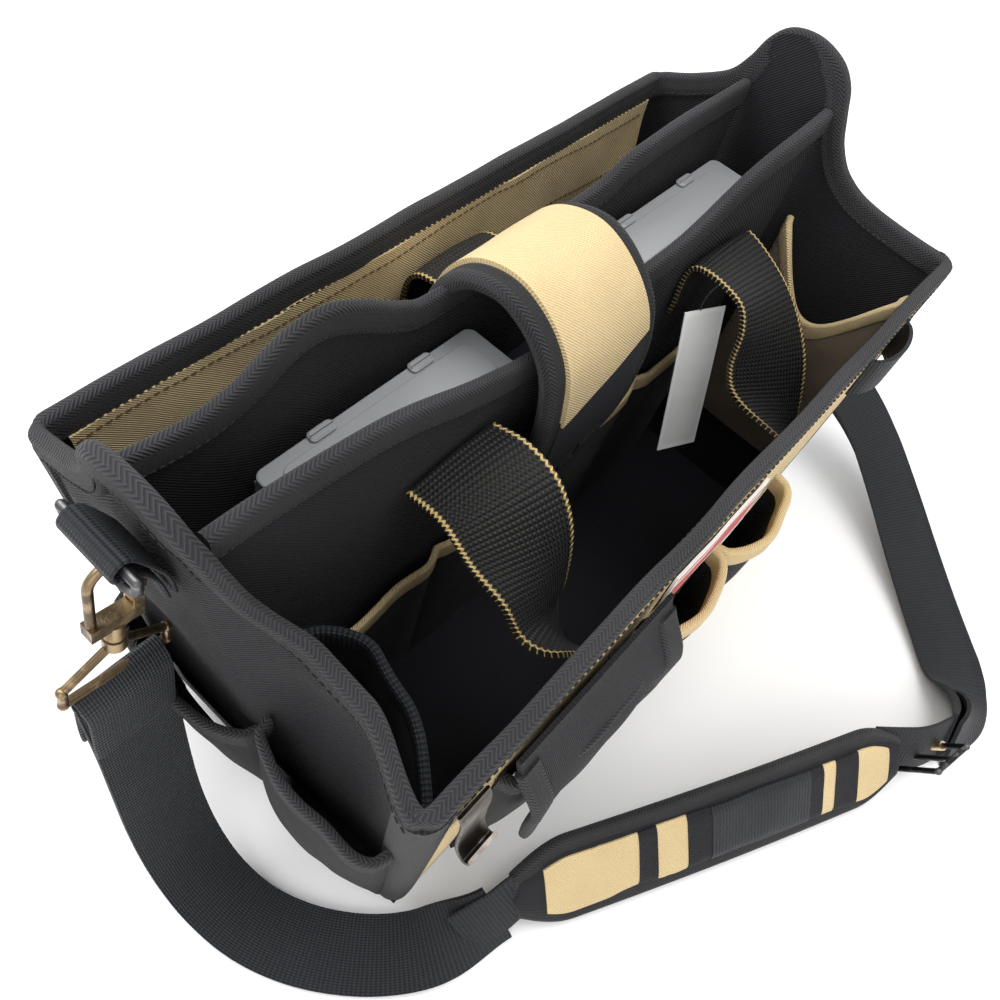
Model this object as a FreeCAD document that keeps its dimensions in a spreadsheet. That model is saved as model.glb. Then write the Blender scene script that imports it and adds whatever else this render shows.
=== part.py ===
import FreeCAD, Part
import math
import os
import Sketcher

# Garden tool bag: an open-topped soft tote with two dividers, a padded saddle handle, lidded parts
# boxes in the middle compartment, and a clip-on shoulder strap that lies on the ground in front.
# Millimetres. +X runs along the bag to its right end, +Y to its back, +Z up. The origin is under
# the middle of the bag's own outline, on the ground; the shoulder strap is not counted in it.

V = FreeCAD.Vector
os.makedirs("parts", exist_ok=True)
doc = FreeCAD.newDocument("garden_tool_bag")
sizes = doc.addObject("Spreadsheet::Sheet", "Sizes")

DRIVING = {
    # bag body
    "rim_length": 430.0, "base_length": 396.0, "rim_width": 215.0, "base_width": 205.0,
    "rim_height": 250.0, "middle_y": 11.56, "wall": 4.0, "fabric": 2.0, "board": 3.0,
    "binding_tall": 14.0, "binding_proud": 1.5,
    # dividers and the raised ends of the middle compartment
    "divider": 3.0, "front_divider_y": 4.0, "back_divider_y": 46.0, "divider_end": 282.0,
    "divider_mid": 250.0, "divider_bind": 11.0, "ear_half": 31.0, "ear_y": 25.0, "ear_top": 312.0,
    "ear_bind": 9.0, "shelf_z": 178.0,
    # saddle handle
    "handle_y": 22.0, "handle_z": 243.0, "handle_r": 38.0, "handle_thick": 7.0, "handle_half": 37.0,
    "handle_edge": 5.0, "tongue_z": 162.0, "handle_back_z": 214.0,
    # lidded parts boxes
    "box_length": 130.0, "box_width": 34.0, "box_tall": 50.0, "box_wall": 1.6, "left_box_x": -160.0,
    "right_box_x": 62.0, "lid_thick": 2.4,
    # elastic loops
    "elastic_wide": 55.0, "elastic_thick": 1.8, "left_loop_x": -86.0, "right_loop_x": 126.0,
    # outside pockets
    "flap_x": -120.0, "flap_half": 50.0, "flap_top": 231.0, "flap_bottom": 152.0, "small_pocket": 52.0,
    # ring, hook and strap
    "ring_wire": 2.0, "ring_r": 19.0, "ring_z": 286.0, "ring_x": 231.0, "hook_wire": 1.9,
    "bow_r": 8.5, "eye_half": 22.0, "hook_tilt": 10.0, "web_wide": 40.0, "web_thick": 2.4,
    "pad_length": 270.0, "pad_wide": 58.0, "pad_thick": 9.0, "pad_lean": 50.0,
}
for row, (alias, number) in enumerate(DRIVING.items(), start=1):
    sizes.set(f"A{row}", alias)
    sizes.set(f"B{row}", str(number))
    sizes.setAlias(f"B{row}", alias)
doc.recompute()

subparts = []


def cell(formula):
    """Names the sheet in a formula, so that 'wall * 2' becomes 'Sizes.wall * 2'."""
    text = str(formula)
    for alias in sorted(DRIVING, key=len, reverse=True):
        text = replace_word(text, alias)
    return text


def replace_word(text, alias):
    """Puts the sheet's name before each whole word that is an alias."""
    out, start = "", 0
    while True:
        at = text.find(alias, start)
        if at < 0:
            return out + text[start:]
        end = at + len(alias)
        before = text[at - 1] if at else " "
        after = text[end] if end < len(text) else " "
        whole = not (before.isalnum() or before in "_.") and not (after.isalnum() or after == "_")
        out += text[start:at] + ("Sizes." if whole else "") + alias
        start = end


def number(formula):
    """The value of a formula in millimetres or degrees."""
    return float(sizes.evalExpression(cell(formula)))


def keep(obj, label):
    """Registers a finished sub-part under the name of its file."""
    obj.Label = label
    subparts.append(obj)
    return obj


def place(obj, x="0", y="0", z="0", rotation=None):
    """Binds an object's position to formulas, with an optional fixed turn."""
    if rotation is not None:
        obj.Placement.Rotation = rotation
    for axis, formula in zip("xyz", (x, y, z)):
        obj.setExpression("Placement.Base." + axis, cell(formula))
    return obj


# Width and length of the flared body at a height, measured from the middle.
def half_x(z, inward="0"):
    return f"(base_length + (rim_length - base_length) * ({z}) / rim_height) / 2 - ({inward})"


def half_y(z, inward="0"):
    return f"(base_width + (rim_width - base_width) * ({z}) / rim_height) / 2 - ({inward})"


def slab(name, low, high, bottom, top):
    """A block between two heights whose four sides may lean: bottom and top are x0, x1, y0, y1."""
    block = doc.addObject("Part::Wedge", name)
    values = {"Ymin": low, "Ymax": high, "Xmin": bottom[0], "Xmax": bottom[1], "X2min": top[0],
              "X2max": top[1],
              "Zmin": f"-({bottom[3]})", "Zmax": f"-({bottom[2]})", "Z2min": f"-({top[3]})",
              "Z2max": f"-({top[2]})"}
    for prop, formula in values.items():
        block.setExpression(prop, cell(formula))
    return place(block, "0", "middle_y", "0", FreeCAD.Rotation(V(1, 0, 0), 90))


def box(name, x, y, z):
    """An upright block from three pairs of formulas."""
    return slab(name, z[0], z[1], (x[0], x[1], y[0], y[1]), (x[0], x[1], y[0], y[1]))


def fuse(name, shapes):
    joined = doc.addObject("Part::MultiFuse", name)
    joined.Shapes = shapes
    return joined


def cut(name, base, tool):
    left = doc.addObject("Part::Cut", name)
    left.Base = base
    left.Tool = tool
    return left


def group(name, shapes):
    together = doc.addObject("Part::Compound", name)
    together.Links = shapes
    return together


def rod(name, radius, length, x, y, z, direction=V(0, 0, 1)):
    """A round bar from a point along a direction."""
    bar = doc.addObject("Part::Cylinder", name)
    bar.setExpression("Radius", cell(radius))
    bar.setExpression("Height", cell(length))
    return place(bar, x, y, z, FreeCAD.Rotation(V(0, 0, 1), direction))


def profile(label, plane, points, thickness, x="0", y="0", z="0", bulges=None):
    """A closed outline of lines and half rounds on an origin plane, padded evenly to both sides.

    points are pairs of formulas; bulges gives, for each half round by the number of the point that
    it starts from, the pair of formulas of its crown. Its centre is level with its ends.
    """
    body = doc.addObject("PartDesign::Body", label)
    sketch = body.newObject("Sketcher::SketchObject", label + "_outline")
    origin_plane = [f for f in body.Origin.OriginFeatures if f.Role == plane][0]
    sketch.AttachmentSupport = [(origin_plane, "")]
    sketch.MapMode = "FlatFace"
    bulges = bulges or {}
    corners = [V(number(u), number(v), 0) for u, v in points]
    for index, start in enumerate(corners):
        end = corners[(index + 1) % len(corners)]
        if index in bulges:
            through = V(number(bulges[index][0]), number(bulges[index][1]), 0)
            anticlockwise = (through - start).cross(end - through).z > 0
            first, last = (start, end) if anticlockwise else (end, start)
            sketch.addGeometry(Part.Arc(first, through, last))
        else:
            sketch.addGeometry(Part.LineSegment(start, end))
    for index in range(len(corners)):
        following = (index + 1) % len(corners)
        start_vertex = vertex_near(sketch, index, corners[index])
        end_vertex = vertex_near(sketch, index, corners[following])
        next_vertex = vertex_near(sketch, following, corners[following])
        sketch.addConstraint(Sketcher.Constraint("Coincident", index, end_vertex, following, next_vertex))
        for kind, formula in zip(("DistanceX", "DistanceY"), points[index]):
            row = sketch.addConstraint(Sketcher.Constraint(kind, -1, 1, index, start_vertex, number(formula)))
            sketch.setExpression(f"Constraints[{row}]", cell(formula))
        if index in bulges:
            level = sketch.addConstraint(Sketcher.Constraint("DistanceY", -1, 1, index, 3,
                                                             number(points[index][1])))
            sketch.setExpression(f"Constraints[{level}]", cell(points[index][1]))
    pad = body.newObject("PartDesign::Pad", label + "_pad")
    pad.Profile = sketch
    pad.setExpression("Length", cell(thickness))
    pad.Midplane = True
    body.Tip = pad
    return place(body, x, y, z)


def vertex_near(sketch, index, point):
    """Tells whether an edge of a sketch starts (1) or ends (2) at a point."""
    edge = sketch.Geometry[index]
    return 1 if edge.StartPoint.distanceToPoint(point) < edge.EndPoint.distanceToPoint(point) else 2


# ---------------------------------------------------------------- bag body
WALL_TOP = "rim_height - binding_tall"
keep(box("base_panel", ("-base_length / 2", "base_length / 2"), ("-base_width / 2", "base_width / 2"),
         ("0", "fabric")), "base_panel")
keep(box("base_board", ("-base_length / 2 + wall + 1", "base_length / 2 - wall - 1"),
         ("-base_width / 2 + wall + 1", "base_width / 2 - wall - 1"), ("fabric", "fabric + board")),
         "base_board")


def long_wall(name, side, low, high, outer, inner):
    """A wall along the front (-1) or back (+1), between two distances in from the outside."""
    rows = []
    for z in (low, high):
        near, far = half_y(z, inner), half_y(z, outer)
        rows.append((f"-({half_x(z)})", half_x(z), near, far) if side > 0 else
                    (f"-({half_x(z)})", half_x(z), f"-({far})", f"-({near})"))
    return slab(name, low, high, rows[0], rows[1])


def end_wall(name, side, low, high, outer, inner, from_front="wall", front=None, back=None):
    """A wall across the left (-1) or right (+1) end, between two distances in from the outside."""
    rows = []
    for z in (low, high):
        near, far = half_x(z, inner), half_x(z, outer)
        y0 = front or f"-({half_y(z, from_front)})"
        y1 = back or half_y(z, from_front)
        rows.append((near, far, y0, y1) if side > 0 else (f"-({far})", f"-({near})", y0, y1))
    return slab(name, low, high, rows[0], rows[1])


for side, name in ((-1, "front"), (1, "back")):
    keep(long_wall(name + "_wall", side, "fabric", WALL_TOP, "0", "wall"), name + "_wall")
    keep(long_wall(name + "_rim_binding", side, WALL_TOP, "rim_height", "-binding_proud",
                   "wall + binding_proud"), name + "_rim_binding")
for side, name in ((-1, "left"), (1, "right")):
    keep(end_wall(name + "_end_wall", side, "fabric", WALL_TOP, "0", "wall"), name + "_end_wall")
end_bindings = [end_wall(name + "_rim_binding", side, WALL_TOP, "rim_height", "-binding_proud",
                         "wall + binding_proud", "wall + binding_proud")
             for side, name in ((-1, "left"), (1, "right"))]
keep(group("end_rim_bindings", end_bindings), "end_rim_bindings")

# Tan outer panel of the front, and the bound corners beside it.
CORNER = "14"
PANEL_LOW, PANEL_HIGH = "8", WALL_TOP
panel_rows = [(f"-({half_x(z, CORNER)})", half_x(z, CORNER), f"-({half_y(z, '-1.2')})", f"-({half_y(z)})")
              for z in (PANEL_LOW, PANEL_HIGH)]
keep(slab("front_outer_panel", PANEL_LOW, PANEL_HIGH, *panel_rows), "front_outer_panel")


def corner_strip(name, side_x, side_y):
    """A bound corner: one leg on the long wall and one on the end wall."""
    legs = []
    for leg, reach_x, reach_y in (("a", CORNER, "0"), ("b", "0", CORNER)):
        rows = []
        for z in (PANEL_LOW, PANEL_HIGH):
            x = sorted_pair(side_x, half_x(z, reach_x), half_x(z, "-2"))
            y = sorted_pair(side_y, half_y(z, reach_y), half_y(z, "-2"))
            rows.append(x + y)
        legs.append(slab(f"{name}_{leg}", PANEL_LOW, PANEL_HIGH, rows[0], rows[1]))
    return fuse(name, legs)


def sorted_pair(side, near, far):
    return (near, far) if side > 0 else (f"-({far})", f"-({near})")


corners = [corner_strip(f"corner_{'lr'[i]}_{'fb'[j]}", x, y)
           for i, x in enumerate((-1, 1)) for j, y in enumerate((-1, 1))]
keep(group("corner_bindings", corners), "corner_bindings")

# Tan lining along the top of the back wall's inner face.
lining_rows = [(f"-({half_x(z, 'wall + 2')})", half_x(z, "wall + 2"), half_y(z, "wall + 1.2"),
                half_y(z, "wall"))
               for z in ("176", WALL_TOP)]
keep(slab("back_lining_band", "176", WALL_TOP, *lining_rows), "back_lining_band")

# ---------------------------------------------------------------- dividers
# The dividers rise towards the raised ends of the middle compartment and dip under the handle.
DIVIDER_GAP = "wall + binding_proud + 0.5"
RISE = [("-1", "divider_end"), ("-0.52", "divider_end - 12"), ("-0.2", "divider_mid"), ("0.2", "divider_mid"),
        ("0.52", "divider_end - 14"), ("1", "divider_end")]


def divider_outline(low_drop):
    """The rising top edge of a divider, lowered by a drop, as pairs of formulas."""
    reach = half_x("rim_height", DIVIDER_GAP)
    return [(f"({reach}) * ({share})", f"{top} - ({low_drop})") for share, top in RISE]


divider_strips = []
for name, at in (("front_divider", "front_divider_y"), ("back_divider", "back_divider_y")):
    foot = half_x("0", DIVIDER_GAP)
    outline = [(f"-({foot})", "fabric + board"), (foot, "fabric + board")]
    outline += list(reversed(divider_outline("divider_bind")))
    keep(profile(name, "XZ_Plane", outline, "divider", y=f"{at} + middle_y"), name)
    strip = divider_outline("0") + list(reversed(divider_outline("divider_bind")))
    divider_strips.append(profile(name + "_binding", "XZ_Plane", strip, "divider + 2.6",
                                  y=f"{at} + middle_y"))
keep(group("divider_bindings", divider_strips), "divider_bindings")

# Stiff sling that carries the parts boxes.
keep(box("box_shelf", (f"-({half_x('shelf_z', 'wall + 1')})", half_x("shelf_z", "wall + 1")),
         ("front_divider_y + divider / 2", "back_divider_y - divider / 2"), ("shelf_z", "shelf_z + board")),
         "box_shelf")

# ---------------------------------------------------------------- raised ends (ears)
EAR_BASE = "rim_height"
ears, ear_edges = [], []
for side, name in ((-1, "left"), (1, "right")):
    half = "ear_half - ear_bind"
    crown = "ear_top - ear_bind"
    shoulder = "ear_top - ear_half"
    mid = f"({half_x('rim_height', 'wall / 2')}) * ({side})"
    panel = [(f"-({half})", EAR_BASE), (half, EAR_BASE), (half, shoulder), (f"-({half})", shoulder)]
    edge = [("-ear_half", EAR_BASE), (f"-({half})", EAR_BASE), (f"-({half})", shoulder), (half, shoulder),
            (half, EAR_BASE), ("ear_half", EAR_BASE), ("ear_half", shoulder), ("-ear_half", shoulder)]
    ears.append(profile(name + "_ear", "YZ_Plane", panel, "wall", mid, "ear_y + middle_y", "0",
                        {2: ("0", crown)}))
    ear_edges.append(profile(name + "_ear_edge", "YZ_Plane", edge, "wall + 2 * binding_proud", mid,
                             "ear_y + middle_y", "0", {2: ("0", crown), 6: ("0", "ear_top")}))
keep(group("end_ears", ears), "end_ears")
keep(group("ear_bindings", ear_edges), "ear_bindings")

# ---------------------------------------------------------------- saddle handle
def arch(label, outer, inner, front_low, back_low, width, x="0"):
    """An arch across the bag: two legs joined by a half round, of constant thickness."""
    points = [(f"-({outer})", front_low), (f"-({inner})", front_low), (f"-({inner})", "handle_z"),
              (inner, "handle_z"), (inner, back_low), (outer, back_low), (outer, "handle_z"),
              (f"-({outer})", "handle_z")]
    return profile(label, "YZ_Plane", points, width, x, "handle_y + middle_y", "0",
                   {2: ("0", f"handle_z + {inner}"), 6: ("0", f"handle_z + {outer}")})


INNER = "(handle_r - handle_thick)"
keep(arch("handle_saddle", "handle_r", INNER, "tongue_z + 6", "handle_back_z", "2 * handle_half"),
     "handle_saddle")
handle_edges = [arch(f"handle_edge_{name}", "(handle_r + 1)", "(handle_r - handle_thick - 1)", "tongue_z",
                     "handle_back_z", "handle_edge", f"{side} * (handle_half + handle_edge / 2)")
                for side, name in ((-1, "left"), (1, "right"))]
keep(group("handle_bindings", handle_edges), "handle_bindings")
keep(arch("handle_grip_patch", "(handle_r + 1.2)", "handle_r", "tongue_z + 44", "handle_back_z + 6",
          "2 * handle_half - 6"), "handle_grip_patch")
keep(box("handle_ribbed_band", ("-handle_half + 3", "handle_half - 3"),
         ("handle_y - handle_r - 1.4", "handle_y - handle_r"), ("tongue_z + 12", "tongue_z + 43")),
         "handle_ribbed_band")

# ---------------------------------------------------------------- lidded parts boxes
BOX_FRONT = "front_divider_y + divider / 2 + 2.4"
BOX_BACK = f"{BOX_FRONT} + box_width"
BOX_FLOOR = "shelf_z + board"
LID_Z = f"{BOX_FLOOR} + box_tall"
CELLS = 3


def parts_box(side, start):
    """A tray with three cells and a lid that turns on its back edge."""
    shell = box(f"{side}_box_shell", (start, f"{start} + box_length"), (BOX_FRONT, BOX_BACK),
                (BOX_FLOOR, LID_Z))
    pitch = f"(box_length - box_wall) / {CELLS}"
    hollows = [box(f"{side}_box_cell_{i}",
                   (f"{start} + box_wall + {i} * {pitch}", f"{start} + {i + 1} * {pitch}"),
                   (f"{BOX_FRONT} + box_wall", f"{BOX_BACK} - box_wall"),
                   (f"{BOX_FLOOR} + box_wall", f"{LID_Z} + 1"))
               for i in range(CELLS)]
    keep(cut(side + "_box_tray", shell, group(side + "_box_cells", hollows)), side + "_box_tray")
    low = f"{LID_Z} + 0.4"
    plate = box(f"{side}_lid_plate", (f"{start} - 0.8", f"{start} + box_length + 0.8"),
                (f"{BOX_FRONT} - 0.8", f"{BOX_BACK} + 0.6"), (low, f"{low} + lid_thick"))
    tab = box(f"{side}_lid_tab", (f"{start} + box_length / 2 - 9", f"{start} + box_length / 2 + 9"),
              (f"{BOX_FRONT} + 3", f"{BOX_FRONT} + 6"), (f"{low} + lid_thick", f"{low} + lid_thick + 2"))
    keep(fuse(side + "_box_lid", [plate, tab]), side + "_box_lid")


parts_box("left", "left_box_x")
parts_box("right", "right_box_x")

# ---------------------------------------------------------------- pockets
def pocket(name, outer, inner, low, high, floor):
    """A pocket bag: a leaning block with its inside taken out from above, open at the top."""
    outside = slab(name + "_outside", low, high, *outer)
    inside = slab(name + "_inside", floor, f"{high} + 1", *inner)
    return cut(name, outside, inside)


# Row of tool pockets on the front face of the front divider, with a tan top edge.
ROW_LOW, ROW_HIGH = "fabric + board", "148"
ROW_BACK = "front_divider_y - divider / 2"
ROW_FRONT = f"{ROW_BACK} - 10"
row_shell = box("row_shell", ("-176", "180"), (ROW_FRONT, ROW_BACK), (ROW_LOW, ROW_HIGH))
row_cells = [box(f"row_cell_{i}", (f"{-174 + 88.5 * i}", f"{-174 + 88.5 * i + 86.5}"),
                 (f"{ROW_FRONT} + 1.6", f"{ROW_BACK} + 0"),
                 (f"{ROW_LOW} + 4", f"{ROW_HIGH} + 1")) for i in range(4)]
keep(cut("divider_pocket_row", row_shell, group("row_cells", row_cells)), "divider_pocket_row")
keep(box("divider_pocket_edge", ("-176", "180"), (f"{ROW_FRONT} - 0.2", f"{ROW_FRONT} + 1.6"),
         (ROW_HIGH, f"{ROW_HIGH} + 12")), "divider_pocket_edge")


def end_pocket(label, side, low, high, gap, depth, front, back, inside):
    """A pocket on an end wall, on its inner face when inside is true, else on its outer face."""
    start = f"wall + {gap}" if inside else f"-({gap})"
    sheets = []
    for trim in ("0", "1.6"):
        rows = []
        for z in (low, high):
            reach = f"{start} + {depth} - {trim}" if inside else f"{start} - {depth} + {trim}"
            ends = sorted((half_x(z, start), half_x(z, reach)), key=number)
            x = tuple(ends) if side > 0 else (f"-({ends[1]})", f"-({ends[0]})")
            rows.append(x + (f"{front} + {trim}", f"{back} - {trim}"))
        sheets.append(rows)
    return pocket(label, sheets[0], sheets[1], low, high, f"{low} + 3")


keep(end_pocket("left_inner_pocket", -1, "fabric + board", "176", "0.2", "20", "-92", "-24", True),
     "left_inner_pocket")
keep(end_pocket("right_inner_pocket", 1, "fabric + board", "190", "0.2", "17", "-92", "-14", True),
     "right_inner_pocket")
for side, name in ((-1, "left"), (1, "right")):
    bags = [end_pocket(f"{name}_front_bag", side, "14", "164", "0.2", "23", "-86", "-34", False),
            end_pocket(f"{name}_middle_bag", side, "14", "170", "0.2", "19", "-31", "8", False)]
    keep(group(f"{name}_outer_pockets", bags), f"{name}_outer_pockets")

# Ribbed webbing sewn along the front wall's inner face.
web_rows = [("-70", "150", f"-({half_y(z, 'wall')})", f"-({half_y(z, 'wall + 1.8')})")
            for z in ("150", "186")]
keep(slab("front_inner_webbing", "150", "186", *web_rows), "front_inner_webbing")


def front_pocket(label, x, low, high, low_proud, high_proud):
    """A pocket on the outside of the front, proud of the outer panel by different amounts."""
    shells = []
    for trim in ("0", "1.6"):
        rows = []
        for z, proud in ((low, low_proud), (high, high_proud)):
            rows.append((f"{x[0]} + {trim}", f"{x[1]} - {trim}",
                         f"-({half_y(z, f'-1.4 - {proud} + {trim}')})",
                         f"-({half_y(z, '-1.4')})"))
        shells.append(rows)
    return keep(pocket(label, shells[0], shells[1], low, high, f"{low} + 3"), label)


front_pocket("front_pouch", ("flap_x - flap_half + 3", "flap_x + flap_half - 3"), "40", "192", "18", "7")
front_pocket("front_small_pocket_left", ("-62", "-62 + small_pocket"), "46", "178", "14", "17")
front_pocket("front_small_pocket_right", ("-6", "70"), "46", "182", "14", "16")

# The pouch's flap hangs from a seam under the rim and stands off the pouch.
flap_rows = []
for z, off in (("flap_bottom", "23"), ("flap_top", "2.2")):
    flap_rows.append(("flap_x - flap_half", "flap_x + flap_half", f"-({half_y(z, f'-1.4 - {off} - 2.4')})",
                      f"-({half_y(z, f'-1.4 - {off}')})"))
keep(slab("front_flap", "flap_bottom", "flap_top", *flap_rows), "front_flap")

# Woven patch beside the flap.
patch_rows = [("-62", "16", f"-({half_y(z, '-2.6')})", f"-({half_y(z, '-1.2')})") for z in ("190", "230")]
keep(slab("front_patch", "190", "230", *patch_rows), "front_patch")

# Sheet-metal clip for a tape rule, riveted under the rim near the left corner.
clip_rows = [("-199", "-185", f"-({half_y(z, f'-1.2 - {o}')})", f"-({half_y(z, f'-1.2 - {i}')})")
             for z, o, i in (("196", "14", "12.5"), ("233", "3", "0.2"))]
keep(slab("tape_clip", "196", "233", *clip_rows), "tape_clip")

# Flat webbing loop that stands off the front near the right corner.
loop_out = box("tool_loop_out", ("128", "172"),
               (f"-({half_y('220', '-10.5')})", f"-({half_y('220', '-1.8')})"), ("207", "232"))
loop_in = box("tool_loop_in", ("130", "170"), (f"-({half_y('220', '-8.7')})", f"-({half_y('220', '0')})"),
              ("206", "233"))
keep(cut("tool_loop", loop_out, loop_in), "tool_loop")

# ---------------------------------------------------------------- elastic loops
def bent_strip(label, route, width, thickness, x, y, z):
    """A flat strip bent along a route of straight runs joined by tangent arcs.

    route holds (across, up) points, and the strip is as wide as width along X.
    """
    spine = rounded_wire([V(0, across, up) for across, up in route])
    outline = spine.makeOffset2D(thickness / 2, 0, False, False, False)
    ring = Part.Face(outline)
    solid = ring.extrude(V(width, 0, 0))
    feature = doc.addObject("Part::Feature", label)
    feature.Shape = solid
    place(feature, f"{x} - {width / 2}", y, z)
    return keep(feature, label)


def rounded_wire(points):
    """Straight runs between points, with a tangent arc at each turn, as large as its runs allow."""
    return Part.Wire(rounded_edges(points)[0])


def rounded_edges(points):
    """The edges of a rounded route, and the radius of the arc at each inner point."""
    edges, radii, cursor = [], [], points[0]
    for before, corner, after in zip(points, points[1:], points[2:]):
        into, out = (corner - before), (after - corner)
        run = min(into.Length, out.Length)
        into.normalize()
        out.normalize()
        turn = into.getAngle(out)
        cut_back = 0.45 * run
        radii.append(cut_back / math.tan(turn / 2))
        first, last = corner - into * cut_back, corner + out * cut_back
        inward = (out - into).normalize()
        sagitta = radii[-1] * (1 / math.cos(turn / 2) - 1)
        edges.append(Part.LineSegment(cursor, first).toShape())
        edges.append(Part.Arc(first, corner + inward * sagitta, last).toShape())
        cursor = last
    edges.append(Part.LineSegment(cursor, points[-1]).toShape())
    return edges, radii


LOOP_ROUTE = [(-1.5, 176), (-3, 212), (-12, 234), (-36, 229), (-54, 212), (-64, 184), (-82, 172), (-96, 176)]
for name, centre in (("left_elastic_loop", "left_loop_x"), ("right_elastic_loop", "right_loop_x")):
    bent_strip(name, LOOP_ROUTE, number("elastic_wide"), number("elastic_thick"), centre, "middle_y", "0")
BACK_ROUTE = [(49.5, 168), (57, 194), (68, 222), (81, 236), (92, 220), (97.5, 190)]
bent_strip("back_elastic_loop", BACK_ROUTE, number("elastic_wide"), number("elastic_thick"), "8",
           "middle_y", "0")

# Card tag hung from the right elastic loop.
keep(box("hang_tag", ("82", "82.8"), ("-44", "-14"), ("118", "206")), "hang_tag")

# ---------------------------------------------------------------- rings, hooks and their tabs
def carrier(side):
    """The ring's tab and ring at one end; side is -1 at the left and +1 at the right."""
    name = "left" if side < 0 else "right"
    out = f"({half_x('rim_height')})"
    y = "ear_y"
    plate_x = sorted((f"{side} * ({out} + 0.05)", f"{side} * ({out} + 2.6)"), key=number)
    plate = box(name + "_tab_plate", plate_x, (f"{y} - 14", f"{y} + 14"), ("rim_height + 2", "ring_z + 5"))
    arm_x = sorted((f"{side} * ({out} + 2)", f"{side} * (ring_x - 3.6)"), key=number)
    arm = box(name + "_tab_arm", arm_x, (f"{y} - 14", f"{y} + 14"), ("ring_z - 3", "ring_z + 4"))
    roll = rod(name + "_tab_roll", "5.2", "28", f"{side} * ring_x", f"{y} + middle_y - 14", "ring_z",
               V(0, 1, 0))
    bore = rod(name + "_tab_bore", "ring_wire + 0.4", "30", f"{side} * ring_x", f"{y} + middle_y - 15",
               "ring_z",
               V(0, 1, 0))
    keep(cut(name + "_ring_tab", fuse(name + "_tab_solid", [plate, arm, roll]), bore), name + "_ring_tab")
    bar = rod(name + "_ring_bar", "ring_wire", "2 * ring_r", f"{side} * ring_x", f"{y} + middle_y - ring_r",
              "ring_z",
              V(0, 1, 0))
    bow = doc.addObject("Part::Torus", name + "_ring_bow")
    bow.setExpression("Radius1", cell("ring_r"))
    bow.setExpression("Radius2", cell("ring_wire"))
    bow.Angle3 = 180
    place(bow, f"{side} * ring_x", f"{y} + middle_y", "ring_z", FreeCAD.Rotation(V(0, 1, 0), -90) *
          FreeCAD.Rotation(V(0, 0, 1), 90))
    ends = []
    for end, at in (("a", f"{y} - ring_r"), ("b", f"{y} + ring_r")):
        ball = doc.addObject("Part::Sphere", f"{name}_ring_end_{end}")
        ball.setExpression("Radius", cell("ring_wire"))
        ends.append(place(ball, f"{side} * ring_x", f"{at} + middle_y", "ring_z"))
    keep(fuse(name + "_d_ring", [bar, bow] + ends), name + "_d_ring")


carrier(-1)
carrier(1)


# Heights in the hook's own frame: where the eye's two arms meet, where its sides start, and its bar.
EYE_APEX, EYE_SIDE_TOP, EYE_BAR = -45, -58, -67


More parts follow.
